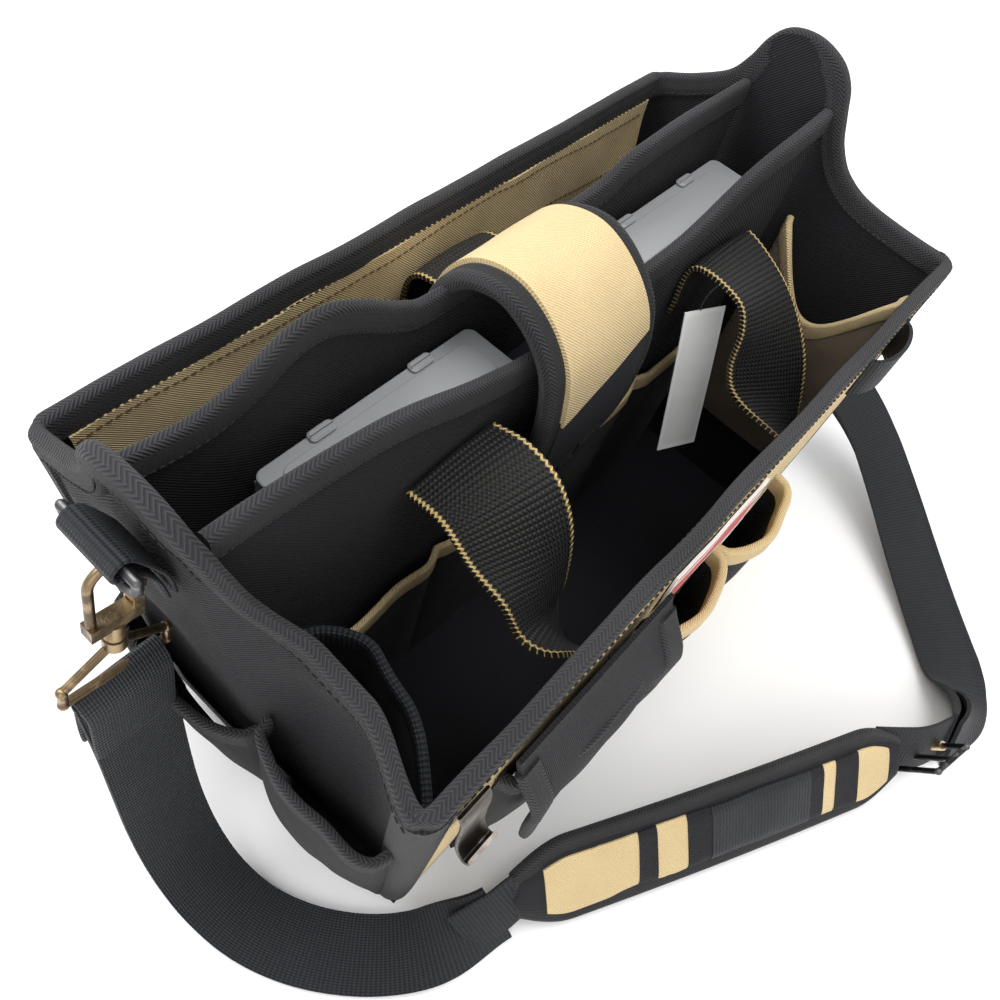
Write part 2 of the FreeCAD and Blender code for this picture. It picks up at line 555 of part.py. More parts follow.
def hook(side):
    """The snap hook at one end, built hanging straight down from the ring wire, then tilted out."""
    name = "left" if side < 0 else "right"
    contact = ("ring_x", "ear_y + middle_y", "ring_z - ring_r")
    tilt = FreeCAD.Rotation(V(0, 1, 0), number("hook_tilt") * -side)
    if side < 0:
        tilt = tilt * FreeCAD.Rotation(V(0, 0, 1), 180)

    def own(obj, x, y, z, rotation=None):
        """Places a piece of the hook from its own frame, whose Z runs up the hook."""
        spot = tilt.multVec(V(number(x), number(y), number(z)))
        turn = tilt * rotation if rotation is not None else tilt
        obj.Placement = FreeCAD.Placement(
            V(side * number(contact[0]) + spot.x, number(contact[1]) + spot.y,
              number(contact[2]) + spot.z), turn)
        return obj

    def bar(label, radius, length, x, y, z, direction=V(0, 0, 1)):
        piece = doc.addObject("Part::Cylinder", f"{name}_{label}")
        piece.setExpression("Radius", cell(radius))
        piece.setExpression("Height", cell(length))
        return own(piece, x, y, z, FreeCAD.Rotation(V(0, 0, 1), direction))

    def block(label, x, y, z):
        piece = doc.addObject("Part::Box", f"{name}_{label}")
        for prop, pair in zip(("Length", "Width", "Height"), (x, y, z)):
            piece.setExpression(prop, cell(f"({pair[1]}) - ({pair[0]})"))
        return own(piece, x[0], y[0], z[0])

    crown = "ring_wire + hook_wire + 0.6 - bow_r"
    arc = doc.addObject("Part::Torus", name + "_bow")
    arc.setExpression("Radius1", cell("bow_r"))
    arc.setExpression("Radius2", cell("hook_wire"))
    arc.Angle3 = 180
    own(arc, "0", "0", crown, FreeCAD.Rotation(V(1, 0, 0), 90))
    body = [arc, bar("bow_leg", "hook_wire", f"{crown} + 26", "bow_r", "0", "-26"),
            bar("bow_tip", "hook_wire", "2.6", "-bow_r", "0", f"{crown} - 2.6"),
            block("yoke", ("-bow_r - 2", "bow_r + 2"), ("-3.2", "3.2"), ("-32", "-25.4")),
            block("lug_a", ("-bow_r - 2", "-bow_r + 2"), ("-3.2", "-2.2"), ("-26", "-20")),
            block("lug_b", ("-bow_r - 2", "-bow_r + 2"), ("2.2", "3.2"), ("-26", "-20")),
            bar("neck", "4", "9", "0", "0", "-40")]
    pin_hole = bar("pin_hole", "1.1", "8", "-bow_r", "-4", "-22.4", V(0, 1, 0))
    shank_hole = bar("shank_hole", "2.3", "12", "0", "0", "-41")
    keep(cut(name + "_hook_body", fuse(name + "_hook_solid", body),
             group(name + "_hook_holes", [pin_hole, shank_hole])),
         name + "_hook_body")
    gate = [bar("gate_rod", "1.5", "12.8", "-bow_r", "0", "-22.4"),
            bar("gate_roll", "2.1", "3.8", "-bow_r", "-1.9", "-22.4", V(0, 1, 0)),
            bar("gate_pin", "0.9", "6.4", "-bow_r", "-3.2", "-22.4", V(0, 1, 0)),
            block("gate_thumb", ("-bow_r - 4.2", "-bow_r"), ("-1.6", "1.6"), ("-18", "-14"))]
    keep(fuse(name + "_hook_gate", gate), name + "_hook_gate")
    slant = V(number("eye_half"), 0, EYE_SIDE_TOP - EYE_APEX)
    eye = [bar("eye_shank", "2.2", "16", "0", "0", "-47"), bar("eye_boss", "4.6", "6", "0", "0", "-46.6"),
           bar("eye_bar", "2", "2 * eye_half", "-eye_half", "0", str(EYE_BAR), V(1, 0, 0))]
    for end, out in (("a", 1), ("b", -1)):
        eye.append(bar(f"eye_arm_{end}", "1.8", str(slant.Length), "0", "0", str(EYE_APEX),
                       V(out * slant.x, 0, slant.z)))
        eye.append(bar(f"eye_side_{end}", "1.9", str(EYE_SIDE_TOP - EYE_BAR), f"{out} * eye_half", "0",
                       str(EYE_BAR)))
        for level in (EYE_SIDE_TOP, EYE_BAR):
            knuckle = doc.addObject("Part::Sphere", f"{name}_eye_corner_{end}_{-level}")
            knuckle.setExpression("Radius", cell("2.3"))
            eye.append(own(knuckle, f"{out} * eye_half", "0", str(level)))
    keep(fuse(name + "_hook_eye", eye), name + "_hook_eye")


hook(-1)
hook(1)

# ---------------------------------------------------------------- shoulder strap
# Flat webbing: each route starts under a hook's eye bar and ends at the shoulder pad or its buckle.
LEFT_ROUTE = [V(-242.6, 36.6, 194.5), V(-245, 35, 150), V(-250, 30, 104), V(-256, 20, 62), V(-260, 4, 30),
              V(-261, -18, 10), V(-257, -46, 5), V(-244, -76, 4), V(-222, -105, 4), V(-195, -126, 8),
              V(-165, -137, 19)]
RIGHT_ROUTE = [V(242.6, 33.8, 197), V(252, 27, 160), V(268, 9, 130), V(282, -20, 102), V(292, -64, 84),
               V(290, -116, 62), V(271, -162, 37), V(246, -200, 21), V(220, -234, 12), V(196, -262, 8.5),
               V(174, -283, 9), V(148, -292, 16), V(123, -289, 25)]
UNDER_ROUTE = [V(243, 40.8, 197), V(255, 34, 156), V(273, 15, 124), V(289, -14, 92), V(299, -60, 75),
               V(297, -118, 54), V(278, -167, 29), V(253, -207, 14), V(227, -241, 6), V(203, -269, 3.5),
               V(181, -291, 3.5), V(153, -302, 9), V(125, -296, 17)]


def webbing(label, points, width, thickness):
    """Flat webbing that starts across X and turns with its route, without twisting about it."""
    edges, radii = rounded_edges(points)
    spine = Part.Wire(edges)
    along = (points[1] - points[0]).normalize()
    across = (V(1, 0, 0) - along * along.x).normalize()
    normal = along.cross(across)
    flat = [points[0] + across * (u * width / 2) + normal * (w * thickness / 2)
            for u, w in ((-1, -1), (1, -1), (1, 1), (-1, 1))]
    section = Part.makePolygon(flat + [flat[0]])
    band = spine.makePipeShell([section], True, False)
    feature = doc.addObject("Part::Feature", label)
    feature.Shape = band
    print(label, "length", round(spine.Length, 1), "radii", [round(r) for r in radii],
          "volume ratio", round(band.Volume / (spine.Length * width * thickness), 3))
    place(feature)
    return keep(feature, label)


webbing("strap_left_run", LEFT_ROUTE, number("web_wide"), number("web_thick"))
webbing("strap_right_run", RIGHT_ROUTE, number("web_wide"), number("web_thick"))
webbing("strap_under_run", UNDER_ROUTE, number("web_wide"), number("web_thick"))

# Shoulder pad, leaning on its lower edge towards the bag.
PAD_YAW = -28.5
PAD_TAPER = 34
PAD_TIP_HALF = "12"
pad_turn = FreeCAD.Rotation(V(0, 0, 1), PAD_YAW) * FreeCAD.Rotation(V(1, 0, 0), number("pad_lean"))
pad_lean = math.radians(number("pad_lean"))
pad_rest = math.sin(pad_lean) * number("pad_wide") / 2 + math.cos(pad_lean) * number("pad_thick") / 2 + 0.3
pad_outline = [("0", f"-{PAD_TIP_HALF}"), (f"{PAD_TAPER}", "-pad_wide / 2"),
               (f"pad_length - {PAD_TAPER}", "-pad_wide / 2"), ("pad_length", f"-{PAD_TIP_HALF}"),
               ("pad_length", PAD_TIP_HALF), (f"pad_length - {PAD_TAPER}", "pad_wide / 2"),
               (f"{PAD_TAPER}", "pad_wide / 2"), ("0", PAD_TIP_HALF)]
pad = profile("shoulder_pad", "XY_Plane", pad_outline, "pad_thick", "-153", "-137.7", str(pad_rest))
pad.Placement.Rotation = pad_turn
keep(pad, "shoulder_pad")

# Wire slider that holds the doubled strap, standing on its long edge beyond the pad.
SLIDER_SPOT = V(98, -283, 24.6)
SLIDER_HALF_LONG = 15
SLIDER_WIRE = "1.9"
SLIDER_SIDE_WIRE = "1.8"
SLIDER_KNUCKLE = "2.3"
slider_turn = FreeCAD.Rotation(V(0, 0, 1), -14) * FreeCAD.Rotation(V(1, 0, 0), 112)
half_web = number("web_wide") / 2 + 2.4


def slider_bar(name, radius, length, along, across, direction):
    """A round bar in the slider's own plane, from a spot along and across it."""
    bar = doc.addObject("Part::Cylinder", name)
    bar.setExpression("Radius", cell(radius))
    bar.setExpression("Height", cell(length))
    spot = SLIDER_SPOT + slider_turn.multVec(V(along, across, 0))
    bar.Placement = FreeCAD.Placement(spot, slider_turn * FreeCAD.Rotation(V(0, 0, 1), direction))
    return bar


slider_wires = []
for end, across in (("low", -half_web), ("high", half_web)):
    slider_wires.append(slider_bar(f"slider_side_{end}", SLIDER_SIDE_WIRE, str(2 * SLIDER_HALF_LONG),
                                   -SLIDER_HALF_LONG,
                                   across, V(1, 0, 0)))
for end, along in (("near", -SLIDER_HALF_LONG), ("middle", 0), ("far", SLIDER_HALF_LONG)):
    slider_wires.append(slider_bar(f"slider_cross_{end}", SLIDER_WIRE, str(2 * half_web), along, -half_web,
                                   V(0, 1, 0)))
for end_a, along in (("near", -SLIDER_HALF_LONG), ("far", SLIDER_HALF_LONG)):
    for end_b, across in (("low", -half_web), ("high", half_web)):
        knuckle = doc.addObject("Part::Sphere", f"slider_corner_{end_a}_{end_b}")
        knuckle.setExpression("Radius", cell(SLIDER_KNUCKLE))
        knuckle.Placement.Base = SLIDER_SPOT + slider_turn.multVec(V(along, across, 0))
        slider_wires.append(knuckle)
keep(fuse("slider_frame", slider_wires), "slider_frame")
roller = slider_bar("roller_solid", "3.2", "9", SLIDER_HALF_LONG, -4.5, V(0, 1, 0))
roller_bore = slider_bar("roller_bore", "2.0", "11", SLIDER_HALF_LONG, -5.5, V(0, 1, 0))
keep(cut("slider_roller", roller, roller_bore), "slider_roller")

# ---------------------------------------------------------------- checks and files
doc.recompute()
for obj in doc.Objects:
    bad = [word for word in obj.State if word in ("Invalid", "Error")]
    if bad:
        raise RuntimeError(f"{obj.Label} is {bad}")
for obj in subparts:
    shape = obj.Shape
    if shape.isNull() or not shape.isValid() or not shape.Solids:
        raise RuntimeError(f"{obj.Label} has no valid solid")
    shape.exportStep(f"parts/{obj.Label}.step")
print(len(subparts), "sub-parts")
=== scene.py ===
import logging
import math
from dataclasses import dataclass, field
from enum import Enum
from typing import Optional, Sequence

import bmesh
import bpy
import numpy as np
from mathutils import Matrix, Vector
from mathutils.bvhtree import BVHTree


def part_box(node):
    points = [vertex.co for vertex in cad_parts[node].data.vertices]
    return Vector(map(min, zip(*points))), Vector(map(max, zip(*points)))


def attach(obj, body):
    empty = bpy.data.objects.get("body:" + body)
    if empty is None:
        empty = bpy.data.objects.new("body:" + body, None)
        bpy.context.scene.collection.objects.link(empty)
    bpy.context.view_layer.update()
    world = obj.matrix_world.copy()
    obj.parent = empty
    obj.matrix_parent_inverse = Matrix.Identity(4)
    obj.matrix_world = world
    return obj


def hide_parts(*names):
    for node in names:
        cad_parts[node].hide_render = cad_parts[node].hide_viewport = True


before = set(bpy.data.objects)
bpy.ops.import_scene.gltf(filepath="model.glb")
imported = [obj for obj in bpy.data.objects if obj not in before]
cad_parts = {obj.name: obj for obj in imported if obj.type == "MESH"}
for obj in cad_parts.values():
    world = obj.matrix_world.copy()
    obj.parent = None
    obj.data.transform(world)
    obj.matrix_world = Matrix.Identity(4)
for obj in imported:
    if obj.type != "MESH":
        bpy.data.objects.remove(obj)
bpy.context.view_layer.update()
LOG = logging.getLogger("garden_tool_bag")
Array = np.ndarray
Pair = tuple[float, float]
Triple = tuple[float, float, float]
Outline = tuple[Pair, ...]
# One millimetre in metres.
MM = 0.001
# How far behind the object's origin the middle of the bag's base lies, in millimetres.
MIDDLE_Y = 11.56

# ------------------------------------------------------------------ small tools for curves and surfaces


def to_bag(places: Array) -> Array:
    """Turns metres in the object's frame into millimetres about the middle of the bag's base."""
    return np.asarray(places) / MM - (0, MIDDLE_Y, 0)


def to_object(places: Array) -> Array:
    """Turns millimetres about the middle of the bag's base into metres in the object's frame."""
    return (np.asarray(places) + (0, MIDDLE_Y, 0)) * MM


def room_of(node: str) -> tuple[Array, Array]:
    """The lowest and highest corners of a plain part's box, in millimetres."""
    low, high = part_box(node)
    return to_bag(low), to_bag(high)


def walked_along(path: Array) -> Array:
    """The distance walked along a line at each of its points."""
    return np.r_[0, np.cumsum(np.linalg.norm(np.diff(path, axis=0), axis=1))]


def length_of(path: Array) -> float:
    """The length of a line."""
    return float(np.linalg.norm(np.diff(path, axis=0), axis=1).sum())


def turned_to(vectors: Array, aim: Array) -> Array:
    """Turns round each vector that points away from its aim."""
    return np.where((vectors * aim).sum(axis=1, keepdims=True) < 0, -vectors, vectors)


def squared(across: Array, heading: Array) -> Array:
    """Leans each direction until it is square to its heading."""
    return unit(across - heading * (across * heading).sum(axis=1, keepdims=True))


def seed_of(text: str) -> int:
    """A steady number for a name."""
    return sum((k + 1) * ord(letter) for k, letter in enumerate(text)) % 9973


def through(points: Sequence[Sequence[float]], count: int) -> Array:
    """Runs a smooth curve through points and spaces it evenly.

    Args:
        points: the points that the curve passes, of any dimension.
        count: how many points come back.

    Returns:
        The curve as an array of count rows.
    """
    knots = np.asarray(points, float)
    padded = np.vstack([2 * knots[0] - knots[1], knots, 2 * knots[-1] - knots[-2]])
    rows = []
    for index in range(1, len(padded) - 2):
        a, b, c, d = padded[index - 1:index + 3]
        share = np.linspace(0, 1, 24, endpoint=False)[:, None]
        rows.append(0.5 * (2 * b + (c - a) * share + (2 * a - 5 * b + 4 * c - d) * share ** 2
                           + (3 * b - 3 * c + d - a) * share ** 3))
    dense = np.vstack(rows + [knots[-1:]])
    return evenly(dense, count)


def evenly(dense: Array, count: int) -> Array:
    """Spaces the points of a line evenly along it.

    Args:
        dense: the line's points.
        count: how many points come back.

    Returns:
        The new points.
    """
    walked = walked_along(dense)
    marks = np.linspace(0, walked[-1], count)
    return np.stack([np.interp(marks, walked, dense[:, k]) for k in range(dense.shape[1])], axis=1)


def unit(vectors: Array) -> Array:
    """Scales each row to length one."""
    return vectors / np.maximum(np.linalg.norm(vectors, axis=-1, keepdims=True), 1e-9)


def tangents(path: Array, closed: bool = False) -> Array:
    """The direction of a line at each of its points.

    Args:
        path: the line's points.
        closed: whether the last point joins the first.

    Returns:
        A direction of length one for each point.
    """
    if closed:
        return unit(np.roll(path, -1, axis=0) - np.roll(path, 1, axis=0))
    return unit(np.gradient(path, axis=0))


def soft_step(value: Array, low: float, high: float) -> Array:
    """Rises smoothly from 0 at low to 1 at high."""
    share = np.clip((np.asarray(value, float) - low) / (high - low), 0, 1)
    return share * share * (3 - 2 * share)


@dataclass(frozen=True)
class Creases:
    """Soft random folds in cloth, the same on every run."""

    seed: int
    height: float = 1.2
    longest: float = 110.0
    shortest: float = 28.0
    waves: int = 9
    lean: float = 0.0

    def at(self, across: Array, up: Array) -> Array:
        """The height of the folds over a surface.

        Args:
            across: distances along the cloth, in millimetres.
            up: distances up the cloth, in millimetres.

        Returns:
            Heights in millimetres, shaped like across.
        """
        draw = np.random.default_rng(self.seed)
        total = np.zeros(np.broadcast(across, up).shape)
        for _ in range(self.waves):
            length = draw.uniform(self.shortest, self.longest)
            angle = draw.uniform(-1.2, 1.2) + self.lean
            phase = draw.uniform(0, 2 * math.pi)
            bend = draw.uniform(0.2, 0.5) * length
            drift = across + bend * np.sin(up / (1.7 * length) + phase)
            wave = np.sin(2 * math.pi * (drift * math.cos(angle) + up * math.sin(angle)) / length + phase)
            total += wave * length / self.longest
        return self.height * total / math.sqrt(self.waves)


class Maker:
    """Turns arrays of points into Blender meshes with a cloth map in metres.

    Points are in millimetres about the middle of the bag's base.
    """

    @staticmethod
    def mesh(name: str, points: Array, faces: list[tuple[int, ...]], cloth: Optional[Array] = None,
             crisp: float = 40.0) -> bpy.types.Object:
        """Makes one object.

        Args:
            name: the piece's name.
            points: corner positions in millimetres.
            faces: corner numbers of each face.
            cloth: for each point, its place on the cloth in millimetres.
            crisp: edges that turn by more than this many degrees stay sharp.

        Returns:
            The new object, linked to the scene.
        """
        data = bpy.data.meshes.new(name)
        data.from_pydata(to_object(points).tolist(), [], faces)
        data.validate()
        if cloth is not None:
            layer = data.uv_layers.new(name="cloth")
            corner = np.empty(len(data.loops), dtype=np.int32)
            data.loops.foreach_get("vertex_index", corner)
            layer.data.foreach_set("uv", (np.asarray(cloth)[corner] * MM).astype(np.float32).ravel())
        data.shade_smooth()
        data.set_sharp_from_angle(angle=math.radians(crisp))
        made = bpy.data.objects.new(name, data)
        bpy.context.scene.collection.objects.link(made)
        return made

    @staticmethod
    def grid_faces(rows: int, columns: int, start: int, wrap: bool, flip: bool) -> list[tuple[int, ...]]:
        """Numbers the four-sided faces of a grid of points.

        Args:
            rows: the grid's rows.
            columns: its columns.
            start: the number of its first point.
            wrap: whether the last column joins the first.
            flip: whether the faces look the other way.

        Returns:
            The corner numbers of each face.
        """
        faces = []
        for i in range(rows - 1):
            for j in range(columns if wrap else columns - 1):
                k = (j + 1) % columns
                face = (start + i * columns + j, start + i * columns + k,
                        start + (i + 1) * columns + k, start + (i + 1) * columns + j)
                faces.append(face[::-1] if flip else face)
        return faces

    @classmethod
    def slab(cls, name: str, outer: Array, inner: Array, cloth: Array, wrap: bool = False,
             crisp: float = 50.0) -> bpy.types.Object:
        """Makes a closed sheet with thickness from two matching grids of points.

        Args:
            name: the piece's name.
            outer: rows by columns by 3, the face that looks out.
            inner: the other face, matching outer point for point.
            cloth: rows by columns by 2, places on the cloth.
            wrap: whether the last column joins the first.
            crisp: the angle above which edges stay sharp.

        Returns:
            The new object.
        """
        rows, columns = outer.shape[:2]
        count = rows * columns
        points = np.vstack([outer.reshape(-1, 3), inner.reshape(-1, 3)])
        places = np.vstack([cloth.reshape(-1, 2), cloth.reshape(-1, 2)])
        faces = cls.grid_faces(rows, columns, 0, wrap, False)
        faces += cls.grid_faces(rows, columns, count, wrap, True)
        for j in range(columns if wrap else columns - 1):
            k = (j + 1) % columns
            top = (rows - 1) * columns
            faces.append((k, j, count + j, count + k))
            faces.append((top + j, top + k, count + top + k, count + top + j))
        if not wrap:
            for i in range(rows - 1):
                a, b = i * columns, (i + 1) * columns
                faces.append((a, b, count + b, count + a))
                a, b = a + columns - 1, b + columns - 1
                faces.append((b, a, count + a, count + b))
        made = cls.mesh(name, points, faces, places, crisp)
        cls.outward(made)
        return made

    @classmethod
    def sheet(cls, name: str, middle: Array, thick: float, cloth: Optional[Array] = None,
              wrap: bool = False, crisp: float = 50.0) -> bpy.types.Object:
        """Makes a sheet of even thickness about a middle surface, a grid of points.

        Args:
            name: the piece's name.
            middle: rows by columns by 3, the middle surface.
            thick: the thickness.
            cloth: rows by columns by 2, places on the cloth.
            wrap: whether the last column joins the first.
            crisp: the angle above which edges stay sharp.

        Returns:
            The new object.
        """
        along = np.gradient(middle, axis=1)
        if wrap:
            along = (np.roll(middle, -1, axis=1) - np.roll(middle, 1, axis=1)) / 2
        up = np.gradient(middle, axis=0)
        normal = unit(np.cross(along, up))
        if cloth is None:
            cloth = cls.measured(middle)
        return cls.slab(name, middle + normal * thick / 2, middle - normal * thick / 2, cloth, wrap, crisp)

    @staticmethod
    def measured(middle: Array) -> Array:
        """Places on the cloth by the lengths along a surface's middle row and column.

        Args:
            middle: rows by columns by 3, the surface.

        Returns:
            Rows by columns by 2.
        """
        rows, columns = middle.shape[:2]
        row, column = middle[rows // 2], middle[:, columns // 2]
        across = walked_along(row)
        up = walked_along(column)
        return np.stack(np.broadcast_arrays(across[None, :], up[:, None]), axis=-1)

    @classmethod
    def swept(cls, name: str, path: Array, side: Array, up: Array, section: Array, closed: bool = False,
              crisp: float = 50.0) -> bpy.types.Object:
        """Carries a closed outline along a line.

        Args:
            name: the piece's name.
            path: points of the line.
            side: for each point, the direction of the outline's first number.
            up: for each point, the direction of the outline's second number.
            section: the outline, anticlockwise pairs of numbers, or one outline for each point.
            closed: whether the line is a loop.
            crisp: the angle above which edges stay sharp.

        Returns:
            The new object.
        """
        outline = np.asarray(section, float)
        if outline.ndim == 2:
            outline = np.broadcast_to(outline, (len(path),) + outline.shape)
        points = path[:, None] + side[:, None] * outline[:, :, :1] + up[:, None] * outline[:, :, 1:]
        count = points.shape[1]
        walked = walked_along(path)
        ring = outline[len(path) // 2]
        around = walked_along(ring)
        places = np.stack(np.broadcast_arrays(walked[:, None], around[None, :]), axis=-1)
        faces = cls.grid_faces(len(path), count, 0, True, True)
        if closed:
            last = (len(path) - 1) * count
            faces += [(last + (j + 1) % count, last + j, j, (j + 1) % count)[::-1] for j in range(count)]
        else:
            last = (len(path) - 1) * count
            faces.append(tuple(range(count)))
            faces.append(tuple(last + j for j in reversed(range(count))))
        made = cls.mesh(name, points.reshape(-1, 3), faces, places.reshape(-1, 2), crisp)
        cls.outward(made)
        return made

    @staticmethod
    def outward(made: bpy.types.Object) -> None:
        """Turns every face of a closed mesh to look out.

        Args:
            made: the object.
        """
        work = bmesh.new()
        work.from_mesh(made.data)
        bmesh.ops.recalc_face_normals(work, faces=work.faces)
        work.to_mesh(made.data)
        work.free()

    @staticmethod
    def join(name: str, pieces: Sequence[bpy.types.Object]) -> bpy.types.Object:
        """Joins pieces into one object under a new name.

        Args:
            name: the new name.
            pieces: the objects, which become one.

        Returns:
            The one object.
        """
        with bpy.context.temp_override(active_object=pieces[0], selected_editable_objects=list(pieces),
                                       selected_objects=list(pieces), object=pieces[0]):
            bpy.ops.object.join()
        pieces[0].name = name
        pieces[0].data.name = name
        return pieces[0]


def rounded_bar(wide: float, tall: float, radius: float, steps: int = 4) -> Array:
    """A rounded rectangle about its middle, anticlockwise.

    Args:
        wide: the size along the first number.
        tall: the size along the second number.
        radius: the corners' radius.
        steps: how many points a corner has.

    Returns:
        Pairs of numbers.
    """
    points = []
    for quarter, (sx, sy) in enumerate(((1, 1), (-1, 1), (-1, -1), (1, -1))):
        for angle in np.linspace(quarter * 90, quarter * 90 + 90, steps):
            turn = math.radians(angle)
            points.append((sx * (wide / 2 - radius) + radius * math.cos(turn),
                           sy * (tall / 2 - radius) + radius * math.sin(turn)))
    return np.array(points)


# ------------------------------------------------------------------ finishes


class Weave(Enum):
    """How the threads of a cloth cross."""

    PLAIN = "plain"
    TWILL = "twill"
    HERRINGBONE = "herringbone"
    RIBBED = "ribbed"
    ELASTIC = "elastic"


class Shade:
    """A procedural material while it is being put together."""

    def __init__(self, name: str, rough: float, metal: float = 0.0) -> None:
        """Starts a material with a roughness and a share of metal."""
        self.material = bpy.data.materials.new(name)
        self.material.use_nodes = True
        self.tree = self.material.node_tree
        self.body = self.tree.nodes["Principled BSDF"]
        self.body.inputs["Roughness"].default_value = rough
        self.body.inputs["Metallic"].default_value = metal

    def add(self, kind: str, **settings: object) -> bpy.types.Node:
        """Adds a node and sets its properties.

        Args:
            kind: the node's type.
            settings: its properties.

        Returns:
            The node.
        """
        node = self.tree.nodes.new(kind)
        for key, value in settings.items():
            setattr(node, key, value)
        return node

    def feed(self, source: object, socket: bpy.types.NodeSocket) -> None:
        """Links a socket, or writes a plain value, into an input.

        Args:
            source: a socket or a value.
            socket: the input.
        """
        if isinstance(source, bpy.types.NodeSocket):
            self.tree.links.new(source, socket)
        else:
            socket.default_value = source

    def calc(self, operation: str, a: object, b: object = 0.0, c: object = 0.0) -> bpy.types.NodeSocket:
        """A sum of up to three numbers or sockets.

        Args:
            operation: what is worked out.
            a: the first number or socket.
            b: the second one.
            c: the third one.

        Returns:
            The result.
        """
        node = self.add("ShaderNodeMath", operation=operation)
        for value, socket in zip((a, b, c), node.inputs):
            self.feed(value, socket)
        return node.outputs[0]

    def wave(self, position: object, pitch: float, phase: float = 0.0) -> bpy.types.NodeSocket:
        """A sine along a position in millimetres."""
        turned = self.calc("MULTIPLY_ADD", position, 2 * math.pi / pitch, phase)
        return self.calc("SINE", turned)

    def noise(self, scale: float, detail: float = 2.0, source: object = None) -> bpy.types.NodeSocket:
        """Cloudy noise over the object, by features in a metre.

        Args:
            scale: how fine it is.
            detail: how many finer layers it has.
            source: the place that it is read at, or none for the object's own.

        Returns:
            A socket from 0 to 1.
        """
        node = self.add("ShaderNodeTexNoise")
        node.inputs["Scale"].default_value = scale
        node.inputs["Detail"].default_value = detail
        self.feed(source if source is not None else self.place(), node.inputs["Vector"])
        return node.outputs["Fac"]

    def place(self) -> bpy.types.NodeSocket:
        """Where a point is on the object, in metres."""
        return self.add("ShaderNodeTexCoord").outputs["Object"]

    def cloth(self) -> tuple[bpy.types.NodeSocket, bpy.types.NodeSocket]:
        """The two places on the cloth, in millimetres."""
        split = self.add("ShaderNodeSeparateXYZ")
        self.feed(self.add("ShaderNodeUVMap", uv_map="cloth").outputs[0], split.inputs[0])
        return tuple(self.calc("MULTIPLY", split.outputs[k], 1 / MM) for k in (0, 1))

    def blend(self, share: object, low: object, high: object) -> bpy.types.NodeSocket:
        """A colour between two others.

        Args:
            share: how much of the second colour.
            low: the first colour.
            high: the second colour.

        Returns:
            The colour's socket.
        """
        node = self.add("ShaderNodeMix", data_type="RGBA")
        self.feed(share, node.inputs["Factor"])
        for value, socket in ((low, node.inputs[6]), (high, node.inputs[7])):
            self.feed(value if isinstance(value, bpy.types.NodeSocket) else (*value[:3], 1.0), socket)
        return node.outputs[2]

    def spread(self, value: object, low: float, high: float, to_low: float = 0.0,
               to_high: float = 1.0) -> bpy.types.NodeSocket:
        """Stretches a range of values onto another one, and clamps it.

        Args:
            value: the number or socket.
            low: its low end.
            high: its high end.
            to_low: what the low end becomes.
            to_high: what the high end becomes.

        Returns:
            The new value's socket.
        """
        node = self.add("ShaderNodeMapRange")
        for number, socket in zip((value, low, high, to_low, to_high), node.inputs):
            self.feed(number, socket)
        return node.outputs[0]

    def relief(self, height: object, distance: float, strength: float = 1.0,
               under: object = None) -> bpy.types.NodeSocket:
        """Raises the surface by a height from 0 to 1, over a distance in metres.

        Args:
            height: the height's socket.
            distance: how far a height of 1 stands out.
            strength: how much of it shows.
            under: a coarser relief below it.

        Returns:
            The normal's socket.
        """
        node = self.add("ShaderNodeBump")
        node.inputs["Strength"].default_value = strength
        node.inputs["Distance"].default_value = distance
        self.feed(height, node.inputs["Height"])
        if under is not None:
            self.feed(under, node.inputs["Normal"])
        return node.outputs[0]

    def done(self, colour: object, normal: object = None, rough: object = None) -> bpy.types.Material:
        """Connects the last results and hands the material over.

        Args:
            colour: a socket or a colour.
            normal: the last relief.
            rough: the roughness's socket.

        Returns:
            The material.
        """
        self.feed(colour if isinstance(colour, bpy.types.NodeSocket) else (*colour[:3], 1.0),
                  self.body.inputs["Base Color"])
        if normal is not None:
            self.feed(normal, self.body.inputs["Normal"])
        if rough is not None:
            self.feed(rough, self.body.inputs["Roughness"])
        return self.material


